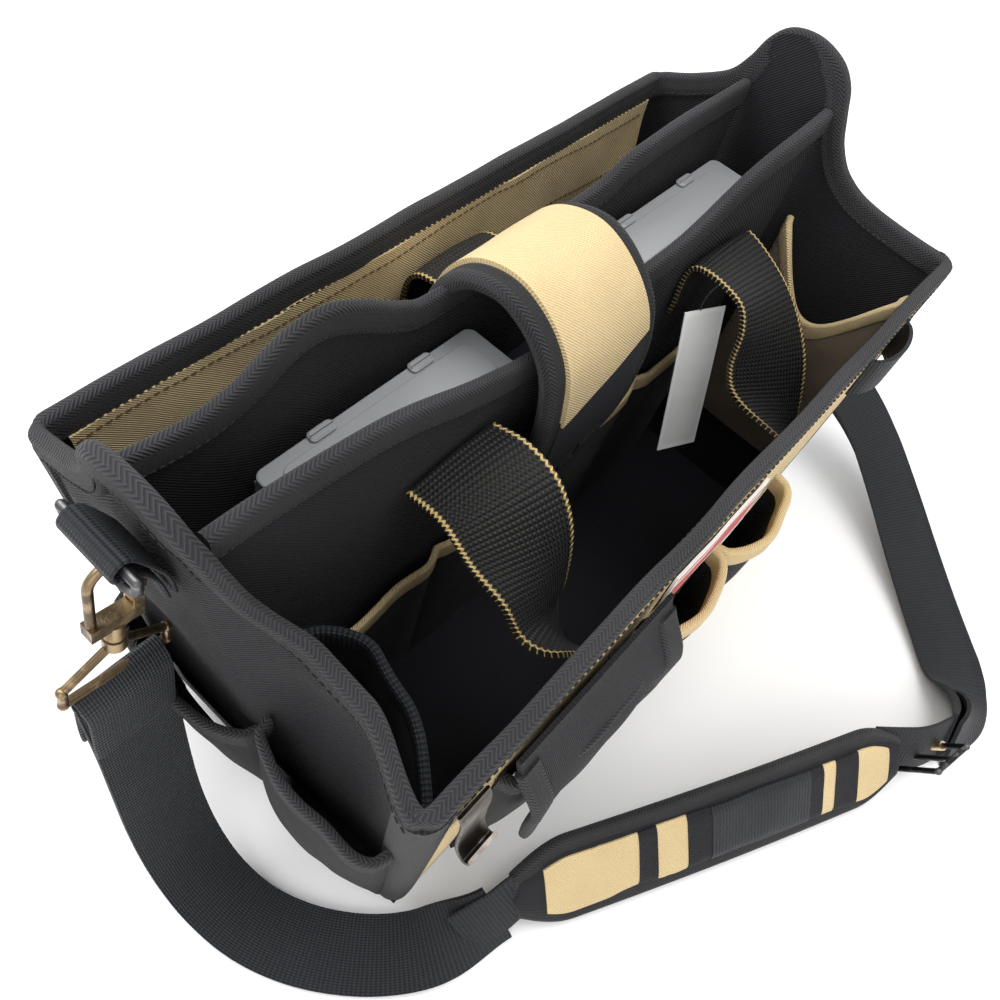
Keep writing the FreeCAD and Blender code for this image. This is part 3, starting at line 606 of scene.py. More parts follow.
@dataclass(frozen=True)
class ClothFinish:
    """A woven cloth: colours, thread pitch in millimetres, and how much the threads stand out."""

    name: str
    dark: Triple
    light: Triple
    weave: Weave = Weave.PLAIN
    pitch: float = 1.5
    relief: float = 0.0005
    rough: float = 0.82
    sheen: float = 0.04
    edge: Optional[Triple] = None
    wide: float = 0.0
    on_cloth: bool = True

    def threads(self, shade: Shade) -> bpy.types.NodeSocket:
        """The height of the threads, from 0 to 1.

        Args:
            shade: the material.

        Returns:
            The height's socket.
        """
        if self.on_cloth:
            u, v = shade.cloth()
        else:
            split = shade.add("ShaderNodeSeparateXYZ")
            shade.feed(shade.place(), split.inputs[0])
            x, y, z = (shade.calc("MULTIPLY", split.outputs[k], 1 / MM) for k in range(3))
            u, v = shade.calc("ADD", x, z), shade.calc("SUBTRACT", y, z)
        if self.weave is Weave.TWILL:
            height = shade.wave(shade.calc("ADD", u, v), self.pitch)
        elif self.weave is Weave.HERRINGBONE:
            turned = shade.calc("PINGPONG", v, 3.2)
            height = shade.wave(shade.calc("MULTIPLY_ADD", turned, 1.1, u), self.pitch)
        elif self.weave is Weave.RIBBED:
            ribs = shade.calc("ABSOLUTE", shade.wave(u, self.pitch * 2))
            height = shade.calc("MULTIPLY_ADD", shade.wave(v, 1.3), 0.22, ribs)
            height = shade.calc("MULTIPLY_ADD", height, 1.6, -0.9)
        elif self.weave is Weave.ELASTIC:
            ribs = shade.calc("ABSOLUTE", shade.wave(u, self.pitch * 2))
            columns = shade.calc("ABSOLUTE", shade.wave(v, 4.6))
            height = shade.calc("MULTIPLY_ADD", shade.calc("MULTIPLY", ribs, columns), 2.0, -1.0)
        else:
            height = shade.calc("MULTIPLY", shade.wave(u, self.pitch), shade.wave(v, self.pitch))
        return shade.spread(height, -1.0, 1.0)

    def make(self) -> bpy.types.Material:
        """Builds the material."""
        shade = Shade(self.name, self.rough)
        height = self.threads(shade)
        clouds = shade.noise(14.0, 3.0)
        lint = shade.noise(900.0, 1.0)
        tone = shade.calc("MULTIPLY_ADD", clouds, 0.55, shade.calc("MULTIPLY", height, 0.35))
        tone = shade.calc("MULTIPLY_ADD", lint, 0.25, tone)
        colour = shade.blend(shade.spread(tone, 0.25, 0.95), self.dark, self.light)
        if self.edge is not None:
            colour = shade.blend(self.border(shade), colour, self.edge)
        shade.body.inputs["Sheen Weight"].default_value = self.sheen
        shade.body.inputs["Sheen Roughness"].default_value = 0.45
        shade.body.inputs["Specular IOR Level"].default_value = 0.3
        normal = shade.relief(shade.noise(120.0, 3.0), 0.0006, 0.4)
        normal = shade.relief(height, self.relief, 1.0, normal)
        rough = shade.spread(lint, 0.2, 0.8, self.rough - 0.08, min(1.0, self.rough + 0.1))
        return shade.done(colour, normal, rough)

    def border(self, shade: Shade) -> bpy.types.NodeSocket:
        """Zigzag threads along both long edges, from 0 to 1.

        Args:
            shade: the material.

        Returns:
            The border's socket.
        """
        u, v = shade.cloth()
        inward = shade.calc("MINIMUM", v, shade.calc("SUBTRACT", self.wide, v))
        zigzag = shade.calc("PINGPONG", u, 1.5)
        gap = shade.calc("ABSOLUTE", shade.calc("SUBTRACT", shade.calc("SUBTRACT", inward, 0.6), zigzag))
        line = shade.spread(gap, 0.55, 0.95, 1.0, 0.0)
        return shade.calc("MULTIPLY", line, shade.spread(inward, 2.6, 3.2, 1.0, 0.0))


@dataclass(frozen=True)
class MetalFinish:
    """Cast or bent metal with worn high spots."""

    name: str
    base: Triple
    worn: Triple
    rough: float = 0.35

    def make(self) -> bpy.types.Material:
        """Builds the material."""
        shade = Shade(self.name, self.rough, 1.0)
        patches = shade.noise(160.0, 4.0)
        high = shade.spread(shade.add("ShaderNodeNewGeometry").outputs["Pointiness"], 0.49, 0.56)
        worn = shade.calc("MAXIMUM", shade.spread(patches, 0.52, 0.72), high)
        normal = shade.relief(shade.noise(700.0, 3.0), 0.0002, 0.5)
        rough = shade.spread(patches, 0.3, 0.7, self.rough + 0.18, self.rough - 0.06)
        return shade.done(shade.blend(worn, self.base, self.worn), normal, rough)


@dataclass(frozen=True)
class PlasticFinish:
    """Moulded plastic with a fine matte grain."""

    name: str
    base: Triple
    light: Triple
    rough: float = 0.42
    clear: float = 0.0

    def make(self) -> bpy.types.Material:
        """Builds the material."""
        shade = Shade(self.name, self.rough)
        shade.body.inputs["Transmission Weight"].default_value = self.clear
        shade.body.inputs["IOR"].default_value = 1.49
        haze = shade.noise(22.0, 3.0)
        high = shade.spread(shade.add("ShaderNodeNewGeometry").outputs["Pointiness"], 0.5, 0.57)
        tone = shade.calc("MAXIMUM", shade.spread(haze, 0.3, 0.8), high)
        normal = shade.relief(shade.noise(1400.0, 2.0), 0.00015, 0.5)
        rough = shade.spread(haze, 0.3, 0.7, self.rough - 0.07, self.rough + 0.1)
        return shade.done(shade.blend(tone, self.base, self.light), normal, rough)


@dataclass(frozen=True)
class PatchFinish:
    """A woven patch: a coloured field with a pale border and a plain stripe."""

    name: str
    field_colour: Triple
    border_colour: Triple
    wide: float
    tall: float

    def make(self) -> bpy.types.Material:
        """Builds the material."""
        shade = Shade(self.name, 0.7)
        u, v = shade.cloth()
        inside_u = shade.calc("MINIMUM", u, shade.calc("SUBTRACT", self.wide, u))
        inside_v = shade.calc("MINIMUM", v, shade.calc("SUBTRACT", self.tall, v))
        edge = shade.spread(shade.calc("MINIMUM", inside_u, inside_v), 2.0, 2.6, 1.0, 0.0)
        from_stripe = shade.calc("ABSOLUTE", shade.calc("SUBTRACT", v, self.tall * 0.78))
        stripe = shade.spread(from_stripe, 1.6, 2.2, 1.0, 0.0)
        pale = shade.calc("MAXIMUM", edge, stripe)
        threads = shade.calc("MULTIPLY", shade.wave(u, 0.9), shade.wave(v, 0.9))
        shade.body.inputs["Sheen Weight"].default_value = 0.2
        return shade.done(shade.blend(pale, self.field_colour, self.border_colour),
                          shade.relief(shade.spread(threads, -1, 1), 0.0003))


class Finishes:
    """Every finish of the bag, made once."""

    ELASTIC_WIDE = 55.0

    def __init__(self) -> None:
        """Makes the materials."""
        black, grey = (0.0055, 0.0055, 0.0068), (0.017, 0.017, 0.0205)
        self.cloth = ClothFinish("black_polyester", black, grey, Weave.TWILL, 1.9, 0.0006).make()
        self.cloth_soft = ClothFinish("black_polyester_soft", black, grey, Weave.PLAIN, 1.7, 0.0003,
                                      on_cloth=False).make()
        self.lining = ClothFinish("black_lining", (0.004, 0.004, 0.0065), (0.011, 0.011, 0.016),
                                  Weave.PLAIN, 1.2, 0.0002, 0.7, 0.05).make()
        self.tape = ClothFinish("black_binding_tape", (0.006, 0.006, 0.007), (0.046, 0.046, 0.05),
                                Weave.HERRINGBONE, 2.1, 0.0006, 0.75, 0.06).make()
        self.webbing = ClothFinish("black_webbing", (0.004, 0.0045, 0.006), (0.02, 0.022, 0.027),
                                   Weave.RIBBED, 2.3, 0.0007, 0.6, 0.04).make()
        self.elastic = ClothFinish("ribbed_elastic", (0.0035, 0.0035, 0.0035), (0.022, 0.021, 0.02),
                                   Weave.ELASTIC,
                                   3.0, 0.0011, 0.5, 0.03, (0.55, 0.40, 0.16), self.ELASTIC_WIDE).make()
        self.tan = ClothFinish("tan_canvas", (0.50, 0.37, 0.18), (0.80, 0.63, 0.36), Weave.TWILL, 1.6, 0.0004,
                               0.85, 0.08).make()
        self.brown = ClothFinish("brown_lining", (0.17, 0.125, 0.085), (0.3, 0.235, 0.165), Weave.PLAIN, 1.4,
                                 0.0003, 0.8, 0.2).make()
        self.black_thread = ClothFinish("black_thread", (0.01, 0.01, 0.011), (0.05, 0.05, 0.05),
                                        pitch=0.6).make()
        self.brown_thread = ClothFinish("brown_thread", (0.07, 0.045, 0.02), (0.2, 0.13, 0.06),
                                        pitch=0.6).make()
        self.plastic = PlasticFinish("grey_box_plastic", (0.26, 0.265, 0.275), (0.38, 0.385, 0.395), 0.38,
                                     0.1).make()
        self.card = PlasticFinish("white_card", (0.72, 0.72, 0.71), (0.86, 0.86, 0.85), 0.6).make()
        self.bronze = MetalFinish("aged_bronze", (0.12, 0.085, 0.05), (0.38, 0.28, 0.16), 0.34).make()
        self.brass = MetalFinish("worn_brass", (0.42, 0.31, 0.16), (0.78, 0.62, 0.36), 0.28).make()
        self.gunmetal = MetalFinish("gunmetal", (0.03, 0.03, 0.032), (0.2, 0.2, 0.205), 0.4).make()
        self.steel = MetalFinish("dark_steel", (0.03, 0.027, 0.024), (0.16, 0.14, 0.125), 0.4).make()


def settle(piece: bpy.types.Object, body: str, finish: bpy.types.Material, slot: str,
           *stands_for: str) -> bpy.types.Object:
    """Gives a finished piece its material, its body and the parts that it stands for.

    Args:
        piece: the piece, in place.
        body: the moving body that it rides on.
        finish: its material.
        slot: not used.
        stands_for: the names of the plain parts that it replaces.

    Returns:
        The piece.
    """
    piece.data.materials.clear()
    piece.data.materials.append(finish)
    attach(piece, body)
    if stands_for:
        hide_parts(*stands_for)
    LOG.info("%s rides on %s", piece.name, body)
    return piece


# ------------------------------------------------------------------ the bag's form


class Side(Enum):
    """The four walls, with the direction that each looks out."""

    FRONT = (0, -1)
    RIGHT = (1, 0)
    BACK = (0, 1)
    LEFT = (-1, 0)


@dataclass(frozen=True)
class BagForm:
    """The walls' shape: they flare to the rim, bow out a little and turn on soft corners."""

    base_half: Pair = (198.0, 102.5)
    rim_half: Pair = (215.0, 107.5)
    rim: float = 250.0
    wall: float = 4.0
    corner: float = 9.0
    bow: float = 3.0
    slump: float = 15.0
    ear: Outline = ((-107.5, 249), (-56, 250), (-32, 257), (-18, 270), (-10, 286), (-4, 299),
                                            (6, 308), (22, 312), (38, 309), (47, 300), (53, 286), (62, 273),
                                            (80, 261), (96, 253), (107.5, 249))

    def half(self, axis: int, z: Array) -> Array:
        """Half of the bag's size along X (0) or Y (1) at a height."""
        low, high = self.base_half[axis], self.rim_half[axis]
        return low + (high - low) * np.asarray(z, float) / self.rim

    def reach(self, side: Side) -> float:
        """How far a wall goes from its middle, at the rim, to half way round a corner."""
        return self.rim_half[0 if side.value[0] == 0 else 1] - self.corner * (1 - math.sqrt(0.5))

    def at(self, side: Side, along: Array, z: Array, out: Array = 0.0) -> Array:
        """Points on a wall.

        Args:
            side: which wall.
            along: distances from the wall's middle, towards +X or +Y, as measured at the rim.
            z: heights.
            out: distances out from the wall's outer face.

        Returns:
            Points with a last axis of 3.
        """
        along, z, out = np.broadcast_arrays(np.asarray(along, float), z, out)
        axis = 0 if side.value[0] == 0 else 1
        full = self.rim_half[axis]
        if side is Side.LEFT:
            slumped = self.slump * soft_step(z, 90, 245) * soft_step(along, -104, -62)
            out = out - slumped * soft_step(along, 2, -40)
        past = np.clip(np.abs(along) - (full - self.corner), 0, self.corner)
        turned = self.corner - np.sqrt(np.maximum(self.corner ** 2 - past ** 2, 0))
        bowed = self.bow * np.cos(np.pi / 2 * np.clip(along / full, -1, 1))
        swell = bowed * np.sin(np.pi * np.clip(z / self.rim, 0, 1))
        flat = along * self.half(axis, z) / full
        round_in = np.sign(along) * past / self.corner * (out * np.sqrt(0.5))
        depth = self.half(1 - axis, z) + out + swell - turned
        if axis == 0:
            return np.stack([flat + round_in, side.value[1] * depth, z], axis=-1)
        return np.stack([side.value[0] * depth, flat + round_in, z], axis=-1)

    def top(self, side: Side, along: Array) -> Array:
        """The height of a wall's top edge.

        Args:
            side: which wall.
            along: distances from the wall's middle.

        Returns:
            Heights.
        """
        if side.value[0] == 0:
            return np.full(np.shape(along), self.rim)
        knots = np.array(self.ear)
        dense = through(knots, 200)
        return np.interp(along, dense[:, 0], dense[:, 1])


FORM = BagForm()


def bound(name: str, edge: Array, thickness: Array, down: Array, wide: float = 16.0,
          thick: float = 7.0, closed: bool = False) -> bpy.types.Object:
    """Folds tape over an edge.

    Args:
        name: the piece's name.
        edge: points along the edge.
        thickness: for each point, the direction through the cloth.
        down: for each point, the direction from the edge into the cloth.
        wide: how far the tape reaches down the cloth.
        thick: the width across the fold.
        closed: whether the edge is a loop.

    Returns:
        The tape.
    """
    section = rounded_bar(thick, wide, thick * 0.42, 5)
    middle = edge + down * (wide / 2 - 2.0)
    return Maker.swept(name, middle, thickness, -down, section, closed, 60)


def stitched(name: str, path: Array, side: Array, long: float = 2.6, pitch: float = 3.8,
             radius: float = 0.42) -> bpy.types.Object:
    """Sews a line of short threads.

    Args:
        name: the piece's name.
        path: points of the seam, on the cloth's face.
        side: one direction across the seam for all threads, or one for each point.
        long: the length of a thread.
        pitch: the distance from one thread to the next.
        radius: how thick a thread is.

    Returns:
        All the threads as one object.
    """
    count = max(2, int(length_of(path) / pitch))
    spots = evenly(path, count + 1)[:-1]
    turned = tangents(spots)
    across = unit(np.cross(turned, np.broadcast_to(side, spots.shape)))
    other = np.cross(turned, across)
    ends = []
    for share, size in ((-0.5, 0.25), (-0.36, 1.0), (0.36, 1.0), (0.5, 0.25)):
        ring = [spots + turned * long * share + (across * math.cos(a) + other * math.sin(a)) * radius * size
                for a in np.linspace(0, 2 * math.pi, 5, endpoint=False)]
        ends.append(np.stack(ring, axis=1))
    points = np.stack(ends, axis=1)
    faces = []
    for index in range(count):
        start = index * 20
        faces += Maker.grid_faces(4, 5, start, True, False)
        faces.append(tuple(start + k for k in reversed(range(5))))
        faces.append(tuple(start + 15 + k for k in range(5)))
    flat = points.reshape(-1, 3)
    return Maker.mesh(name, flat, faces, flat[:, [0, 2]], 80)


# ------------------------------------------------------------------ shell


@dataclass
class Shell:
    """The four walls with their base, bound rim, raised ends and corner strips."""

    finishes: Finishes
    rows: int = 40
    step: float = 5.0
    bare: int = 5

    def wall(self, side: Side, name: str, seed: int, soft: float, *nodes: str) -> None:
        """Makes a wall with its folds.

        Args:
            side: which wall.
            name: the piece's name.
            seed: the folds' seed.
            soft: the folds' height.
            nodes: the plain parts that it replaces.
        """
        reach = FORM.reach(side)
        along = np.linspace(-reach, reach, int(2 * reach / self.step))
        top = FORM.top(side, along)
        z = 1.5 + (top - 1.5)[None, :] * np.linspace(0, 1, self.rows)[:, None]
        spread = np.broadcast_to(along, z.shape)
        calm = soft_step(z, 4, 40) * (1 - soft_step(z, 228, 246) * (z < 262))
        still = 1 - soft_step(np.abs(spread), reach - 25, reach)
        fold = Creases(seed, soft, 130, 34).at(spread, z) * calm * still
        outer = FORM.at(side, spread, z, fold)
        inner = FORM.at(side, spread, z, fold - FORM.wall)
        made = Maker.slab(name, outer, inner, np.stack([spread, z], axis=-1), crisp=60)
        settle(made, "root", self.finishes.cloth, "black_fabric", *nodes)

    def edge(self, side: Side, name: str, wide: float, *nodes: str) -> None:
        """Binds the top of a wall.

        Args:
            side: which wall.
            name: the tape's name.
            wide: how far it reaches down.
            nodes: the plain parts that it replaces.
        """
        reach = FORM.reach(side) + 2.2
        dense = np.linspace(-reach, reach, 900)
        line = FORM.at(side, dense, FORM.top(side, dense), -FORM.wall / 2)
        path = evenly(line, 160)
        heading = tangents(path)
        out = np.broadcast_to(np.array([*side.value, 0.0]), path.shape)
        wave = Creases(seed_of(name), 0.5, 90, 30).at(np.linspace(0, 2 * reach, 160), np.zeros(160))
        down = unit(np.cross(heading, out))
        down = turned_to(down, np.array([0.0, 0.0, -1.0]))
        tape = bound(name, path + out * wave[:, None], out, down, wide, 7.4)
        settle(tape, "root", self.finishes.tape, "binding_tape", *nodes)
        seam = path + down * (wide - 5.0)
        for face, word in ((1, "out"), (-1, "in")):
            line = (seam + out * face * 3.9)[self.bare:-self.bare]
            thread = stitched(f"{name}_stitch_{word}", line, out[0])
            settle(thread, "root", self.finishes.black_thread, "binding_tape")

    def corner(self, index: int, x_side: Side, y_side: Side) -> bpy.types.Object:
        """Covers a corner with a folded strip.

        Args:
            index: the strip's number.
            x_side: the end wall.
            y_side: the long wall.

        Returns:
            The strip.
        """
        z = np.linspace(1.0, 243.0, 30)[:, None]
        x_reach, y_reach = FORM.reach(y_side), FORM.reach(x_side)
        face = np.linspace(x_reach - 12, x_reach, 7) * x_side.value[0]
        end = np.linspace(y_reach, y_reach - 12, 7) * y_side.value[1]
        on_face = FORM.at(y_side, face[None, :], z, 1.1)
        on_end = FORM.at(x_side, end[None, 1:], z, 1.1)
        made = Maker.sheet(f"corner_strip_{index}", np.concatenate([on_face, on_end], axis=1), 1.8)
        return made

    def base(self) -> None:
        """Makes the cloth base and the lining over its board."""
        self.patch("base_cloth", "base_panel", self.finishes.cloth, "black_fabric", 61)
        self.patch("base_lining", "base_board", self.finishes.lining, "stiffener_board", 62)
        self.patch("box_sling", "box_shelf", self.finishes.lining, "stiffener_board", 63)

    def patch(self, name: str, node: str, finish: bpy.types.Material, slot: str, seed: int) -> None:
        """Makes a level sheet in the room of a plain part.

        Args:
            name: the piece's name.
            node: the plain part.
            finish: its material.
            slot: the record's slot for it.
            seed: the folds' seed.
        """
        low, high = room_of(node)
        x, y = np.meshgrid(np.linspace(low[0], high[0], 60), np.linspace(low[1], high[1], 30))
        fold = 0.5 * Creases(seed, 0.6).at(x, y)
        top = np.stack([x, y, np.full(x.shape, high[2] - 0.6) + fold], axis=-1)
        under = np.stack([x, y, np.full(x.shape, low[2] + 0.1)], axis=-1)
        made = Maker.slab(name, top, under, np.stack([x, y], axis=-1))
        settle(made, "root", finish, slot, node)

    def build(self) -> None:
        """Makes the whole shell."""
        self.wall(Side.FRONT, "front_cloth", 11, 1.0, "front_wall")
        self.wall(Side.BACK, "back_cloth", 12, 1.2, "back_wall")
        self.wall(Side.LEFT, "left_end_cloth", 13, 2.4, "left_end_wall", "end_ears")
        self.wall(Side.RIGHT, "right_end_cloth", 14, 2.2, "right_end_wall")
        self.edge(Side.FRONT, "front_rim_tape", 17.0, "front_rim_binding")
        self.edge(Side.BACK, "back_rim_tape", 17.0, "back_rim_binding")
        self.edge(Side.LEFT, "left_rim_tape", 14.0, "end_rim_bindings")
        self.edge(Side.RIGHT, "right_rim_tape", 14.0, "ear_bindings")
        strips = [self.corner(k, x, y) for k, (x, y) in enumerate(
            (x, y) for x in (Side.LEFT, Side.RIGHT) for y in (Side.FRONT, Side.BACK))]
        settle(Maker.join("corner_strips", strips), "root", self.finishes.tape, "binding_tape",
               "corner_bindings")
        self.base()
        self.lining()
        self.front_panel()

    @staticmethod
    def sag(x: Array, z: Array) -> Array:
        """How far the loose lining hangs off the back wall, between its seams."""
        loose = 3.0 * np.abs(np.sin(x / 47.0)) * soft_step(z, 230, 185)
        return np.maximum(loose + Creases(21, 1.2, 90, 26).at(x, z), 0)

    def lining(self) -> None:
        """Makes the tan band along the top of the back wall's inside, with its sewn seam."""
        x, z = np.meshgrid(np.linspace(-203, 203, 120), np.linspace(177, 238, 14))
        middle = FORM.at(Side.BACK, x, z, -FORM.wall - 1.6 - self.sag(x, z))
        band = Maker.sheet("tan_lining_band", middle, 1.2)
        settle(band, "root", self.finishes.tan, "tan_fabric", "back_lining_band")
        for level in (199.0, 232.0):
            line = np.linspace(-200, 200, 200)
            drift = level + 2.0 * np.sin(line / 38.0)
            seam = FORM.at(Side.BACK, line, drift, -FORM.wall - 2.5 - self.sag(line, drift))
            thread = stitched(f"lining_seam_{level:.0f}", seam, (0, 1, 0), 3.2, 4.6, 0.45)
            settle(thread, "root", self.finishes.brown_thread, "tan_fabric")

    def front_panel(self) -> None:
        """Makes the tan sheet over the front wall."""
        x, z = np.meshgrid(np.linspace(-198, 198, 110), np.linspace(10, 232, 40))
        fold = Creases(22, 0.9).at(x, z) * soft_step(z, 10, 40)
        middle = FORM.at(Side.FRONT, x, z, 0.9 + fold * 0.2)
        panel = Maker.sheet("tan_front_panel", middle, 1.2)
        settle(panel, "root", self.finishes.tan, "tan_fabric", "front_outer_panel")


# ------------------------------------------------------------------ dividers


@dataclass
class Dividers:
    """The two cloth dividers that form the bag's middle bay."""

    finishes: Finishes
    front_plan: Outline = ((-208, 1.5), (-150, 1.5), (0, 2.0), (100, 0.0), (208, -3.0))
    back_plan: Outline = ((-208, 48.0), (-100, 50.5), (0, 49.5), (100, 49.0), (208, 48.0))
    front_top: Outline = ((-215, 293), (-184, 291), (-125, 282), (-74, 264), (-41, 253),
                                                  (-15, 250), (65, 256), (97, 262), (146, 276), (215, 288))
    back_top: Outline = ((-215, 286), (-179, 280), (-157, 283), (-134, 293), (-112, 293),
                                                 (-92, 283), (-69, 268), (-45, 262), (65, 265), (105, 276),
                                                 (215, 277))

    def one(self, name: str, plan: Sequence, tops: Sequence, seed: int, node: str) -> None:
        """Makes a divider and its bound top edge.

        Args:
            name: the piece's name.
            plan: its line seen from above.
            tops: its top edge seen from the front.
            seed: the folds' seed.
            node: the plain part that it replaces.
        """
        reach = 206.0
        x = np.linspace(-reach, reach, 110)
        line = through(plan, 300)
        crest = through(tops, 300)
        top = np.interp(x, crest[:, 0], crest[:, 1])
        z = 9.0 + (top - 9.0)[None, :] * np.linspace(0, 1, 34)[:, None]
        wide = np.broadcast_to(x, z.shape) * (FORM.half(0, z) - 8.0) / (FORM.half(0, FORM.rim) - 8.0)
        fold = Creases(seed, 0.7, 150, 44).at(wide, z) * soft_step(z, 10, 60)
        y = np.interp(wide, line[:, 0], line[:, 1]) * soft_step(z, -60, 240) + fold
        y = y + (1 - soft_step(z, -60, 240)) * (4.0 if plan is self.front_plan else 47.0)
        middle = np.stack([wide, y, z], axis=-1)
        cloth = Maker.sheet(name, middle, 3.2)
        settle(cloth, "root", self.finishes.cloth, "black_fabric", node)
        edge = evenly(middle[-1], 150)
        heading = tangents(edge)
        through_cloth = unit(np.cross(heading, (0, 0, 1)))
        down = unit(np.cross(heading, through_cloth))
        down = turned_to(down, np.array([0.0, 0.0, -1.0]))
        tape = bound(f"{name}_tape", edge, through_cloth, down, 15.0, 6.6)
        stands = ("divider_bindings",) if plan is self.front_plan else ()
        settle(tape, "root", self.finishes.tape, "binding_tape", *stands)
        for face in (1, -1):
            thread = stitched(f"{name}_stitch_{'ab'[face > 0]}",
                              edge + down * 10.0 + through_cloth * face * 3.5, (0, 1, 0))
            settle(thread, "root", self.finishes.black_thread, "binding_tape")

    def build(self) -> None:
        """Makes both dividers."""
        self.one("front_divider_cloth", self.front_plan, self.front_top, 31, "front_divider")
        self.one("back_divider_cloth", self.back_plan, self.back_top, 32, "back_divider")


# ------------------------------------------------------------------ handle


@dataclass
class Handle:
    """The padded saddle over the bag's middle, with its bound edge, grip patch and ribbed band."""

    finishes: Finishes
    arch: Outline = ((-14, 160), (-16, 185), (-17, 210), (-16, 232), (-11, 255), (2, 272),
                                             (20, 280), (40, 274), (53, 258), (59, 236), (60, 214))
    crest_half: float = 38.5
    tongue_half: float = 41.5
    thick: float = 8.0
    line: Array = field(init=False)
    length: float = field(init=False)

    def __post_init__(self) -> None:
        """Works out the arch's line."""
        self.line = through(self.arch, 240)
        self.length = length_of(self.line)

    def half(self, share: Array) -> Array:
        """Half of the handle's width along the arch: pointed at the tongue's tip, narrower over the crest.

        Args:
            share: how far along the arch, from 0 to 1.

        Returns:
            Half widths.
        """
        walked = np.asarray(share) * self.length
        tip = np.sqrt(np.clip(1 - (1 - np.clip(walked / 34.0, 0, 1)) ** 2.0, 0, 1))
        body = self.tongue_half + (self.crest_half - self.tongue_half) * soft_step(walked, 60, 120)
        return body * (0.22 + 0.78 * tip)

    def at(self, across: Array, share: Array, out: Array = 0.0) -> Array:
        """Points on the handle.

        Args:
            across: distances from the handle's middle line.
            share: how far along the arch, from 0 at the tongue's tip to 1.
            out: distances out from the middle of the padding.

        Returns:
            Points with a last axis of 3.
        """
        across, share, out = np.broadcast_arrays(np.asarray(across, float), share, out)
        marks = np.linspace(0, 1, len(self.line))
        heading = tangents(self.line)
        y, z = (np.interp(share, marks, self.line[:, k]) for k in (0, 1))
        ny, nz = (np.interp(share, marks, values) for values in (-heading[:, 1], heading[:, 0]))
        centre = 1.5 - 5.0 * soft_step(share * self.length, 50, 130)
        return np.stack([centre + across, y + ny * out, z + nz * out], axis=-1)

    def pad(self) -> None:
        """Makes the padded cloth."""
        share = np.linspace(0.004, 1, 90)[:, None]
        side = np.sin(np.linspace(-1, 1, 25) * math.pi / 2)[None, :]
        across = side * (self.half(share) - 2.0)
        plump = self.thick / 2 * (0.62 + 0.38 * (1 - np.abs(side) ** 4)) * np.ones(share.shape)
        fold = 0.6 * Creases(41, 1.0, 70, 20).at(across, share * self.length)
        cloth = np.stack([across + 50, np.broadcast_to(share * self.length, across.shape)], axis=-1)
        pad = Maker.slab("handle_pad", self.at(across, share, plump + fold), self.at(across, share, -plump),
                         cloth)
        settle(pad, "root", self.finishes.cloth, "black_fabric", "handle_saddle")

    def outline(self) -> tuple[Array, Array]:
        """The line round the handle's edge, as distances across and shares along."""
        share = np.r_[np.linspace(1, 0.09, 80), 0.5 * 0.18 * (1 + np.cos(np.linspace(0, math.pi, 24)[1:]))]
        left = np.stack([-self.half(share), share], axis=1)
        right = np.stack([self.half(share[::-1]), share[::-1]], axis=1)
        both = evenly(np.vstack([left, right]) * (1, self.length), 260)
        return both[:, 0], both[:, 1] / self.length

    def binding(self) -> None:
        """Folds tape round the handle's edge."""
        across, share = self.outline()
        path = self.at(across, share)
        out = unit(self.at(across, share, 1.0) - path)
        inward = unit(np.cross(tangents(path), out))
        inward = turned_to(inward, self.at(across * 0.9, share) - path)
        tape = bound("handle_tape", path, out, inward, 13.0, 9.6)
        settle(tape, "root", self.finishes.tape, "binding_tape", "handle_bindings")
        thread = stitched("handle_stitch", path + inward * 9.0 + out * 4.7, out.mean(axis=0))
        settle(thread, "root", self.finishes.black_thread, "binding_tape")

    def patches(self) -> None:
        """Sews the tan grip patch over the crest, and the ribbed band below it."""
        side = np.linspace(-1, 1, 21)[None, :]
        low = 0.275 + 0.1 * (side + 1) / 2
        share = low + (0.93 - low) * np.linspace(0, 1, 50)[:, None]
        across = side * (self.half(share) - 8.5)
        rise = self.thick / 2 + 1.6 + 0.3 * Creases(41, 1.0, 70, 20).at(across, share * self.length)
        cloth = np.stack([across, share * self.length], axis=-1)
        tan = Maker.slab("handle_grip", self.at(across, share, rise + 1.5),
                         self.at(across, share, rise - 1.4), cloth)
        settle(tan, "root", self.finishes.tan, "tan_fabric", "handle_grip_patch")
        top = 0.285 + 0.1 * (side + 1) / 2
        share = 0.10 + (top - 0.10) * np.linspace(0, 1, 20)[:, None]
        across = side * (self.half(share) - 8.0)
        cloth = np.stack([share * self.length, across], axis=-1)
        band = Maker.slab("handle_band", self.at(across, share, self.thick / 2 + 1.5),
                          self.at(across, share, self.thick / 2 - 0.6), cloth)
        settle(band, "root", self.finishes.webbing, "ribbed_elastic", "handle_ribbed_band")

    def build(self) -> None:
        """Makes the whole handle."""
        self.pad()
        self.binding()
        self.patches()


# ------------------------------------------------------------------ parts boxes


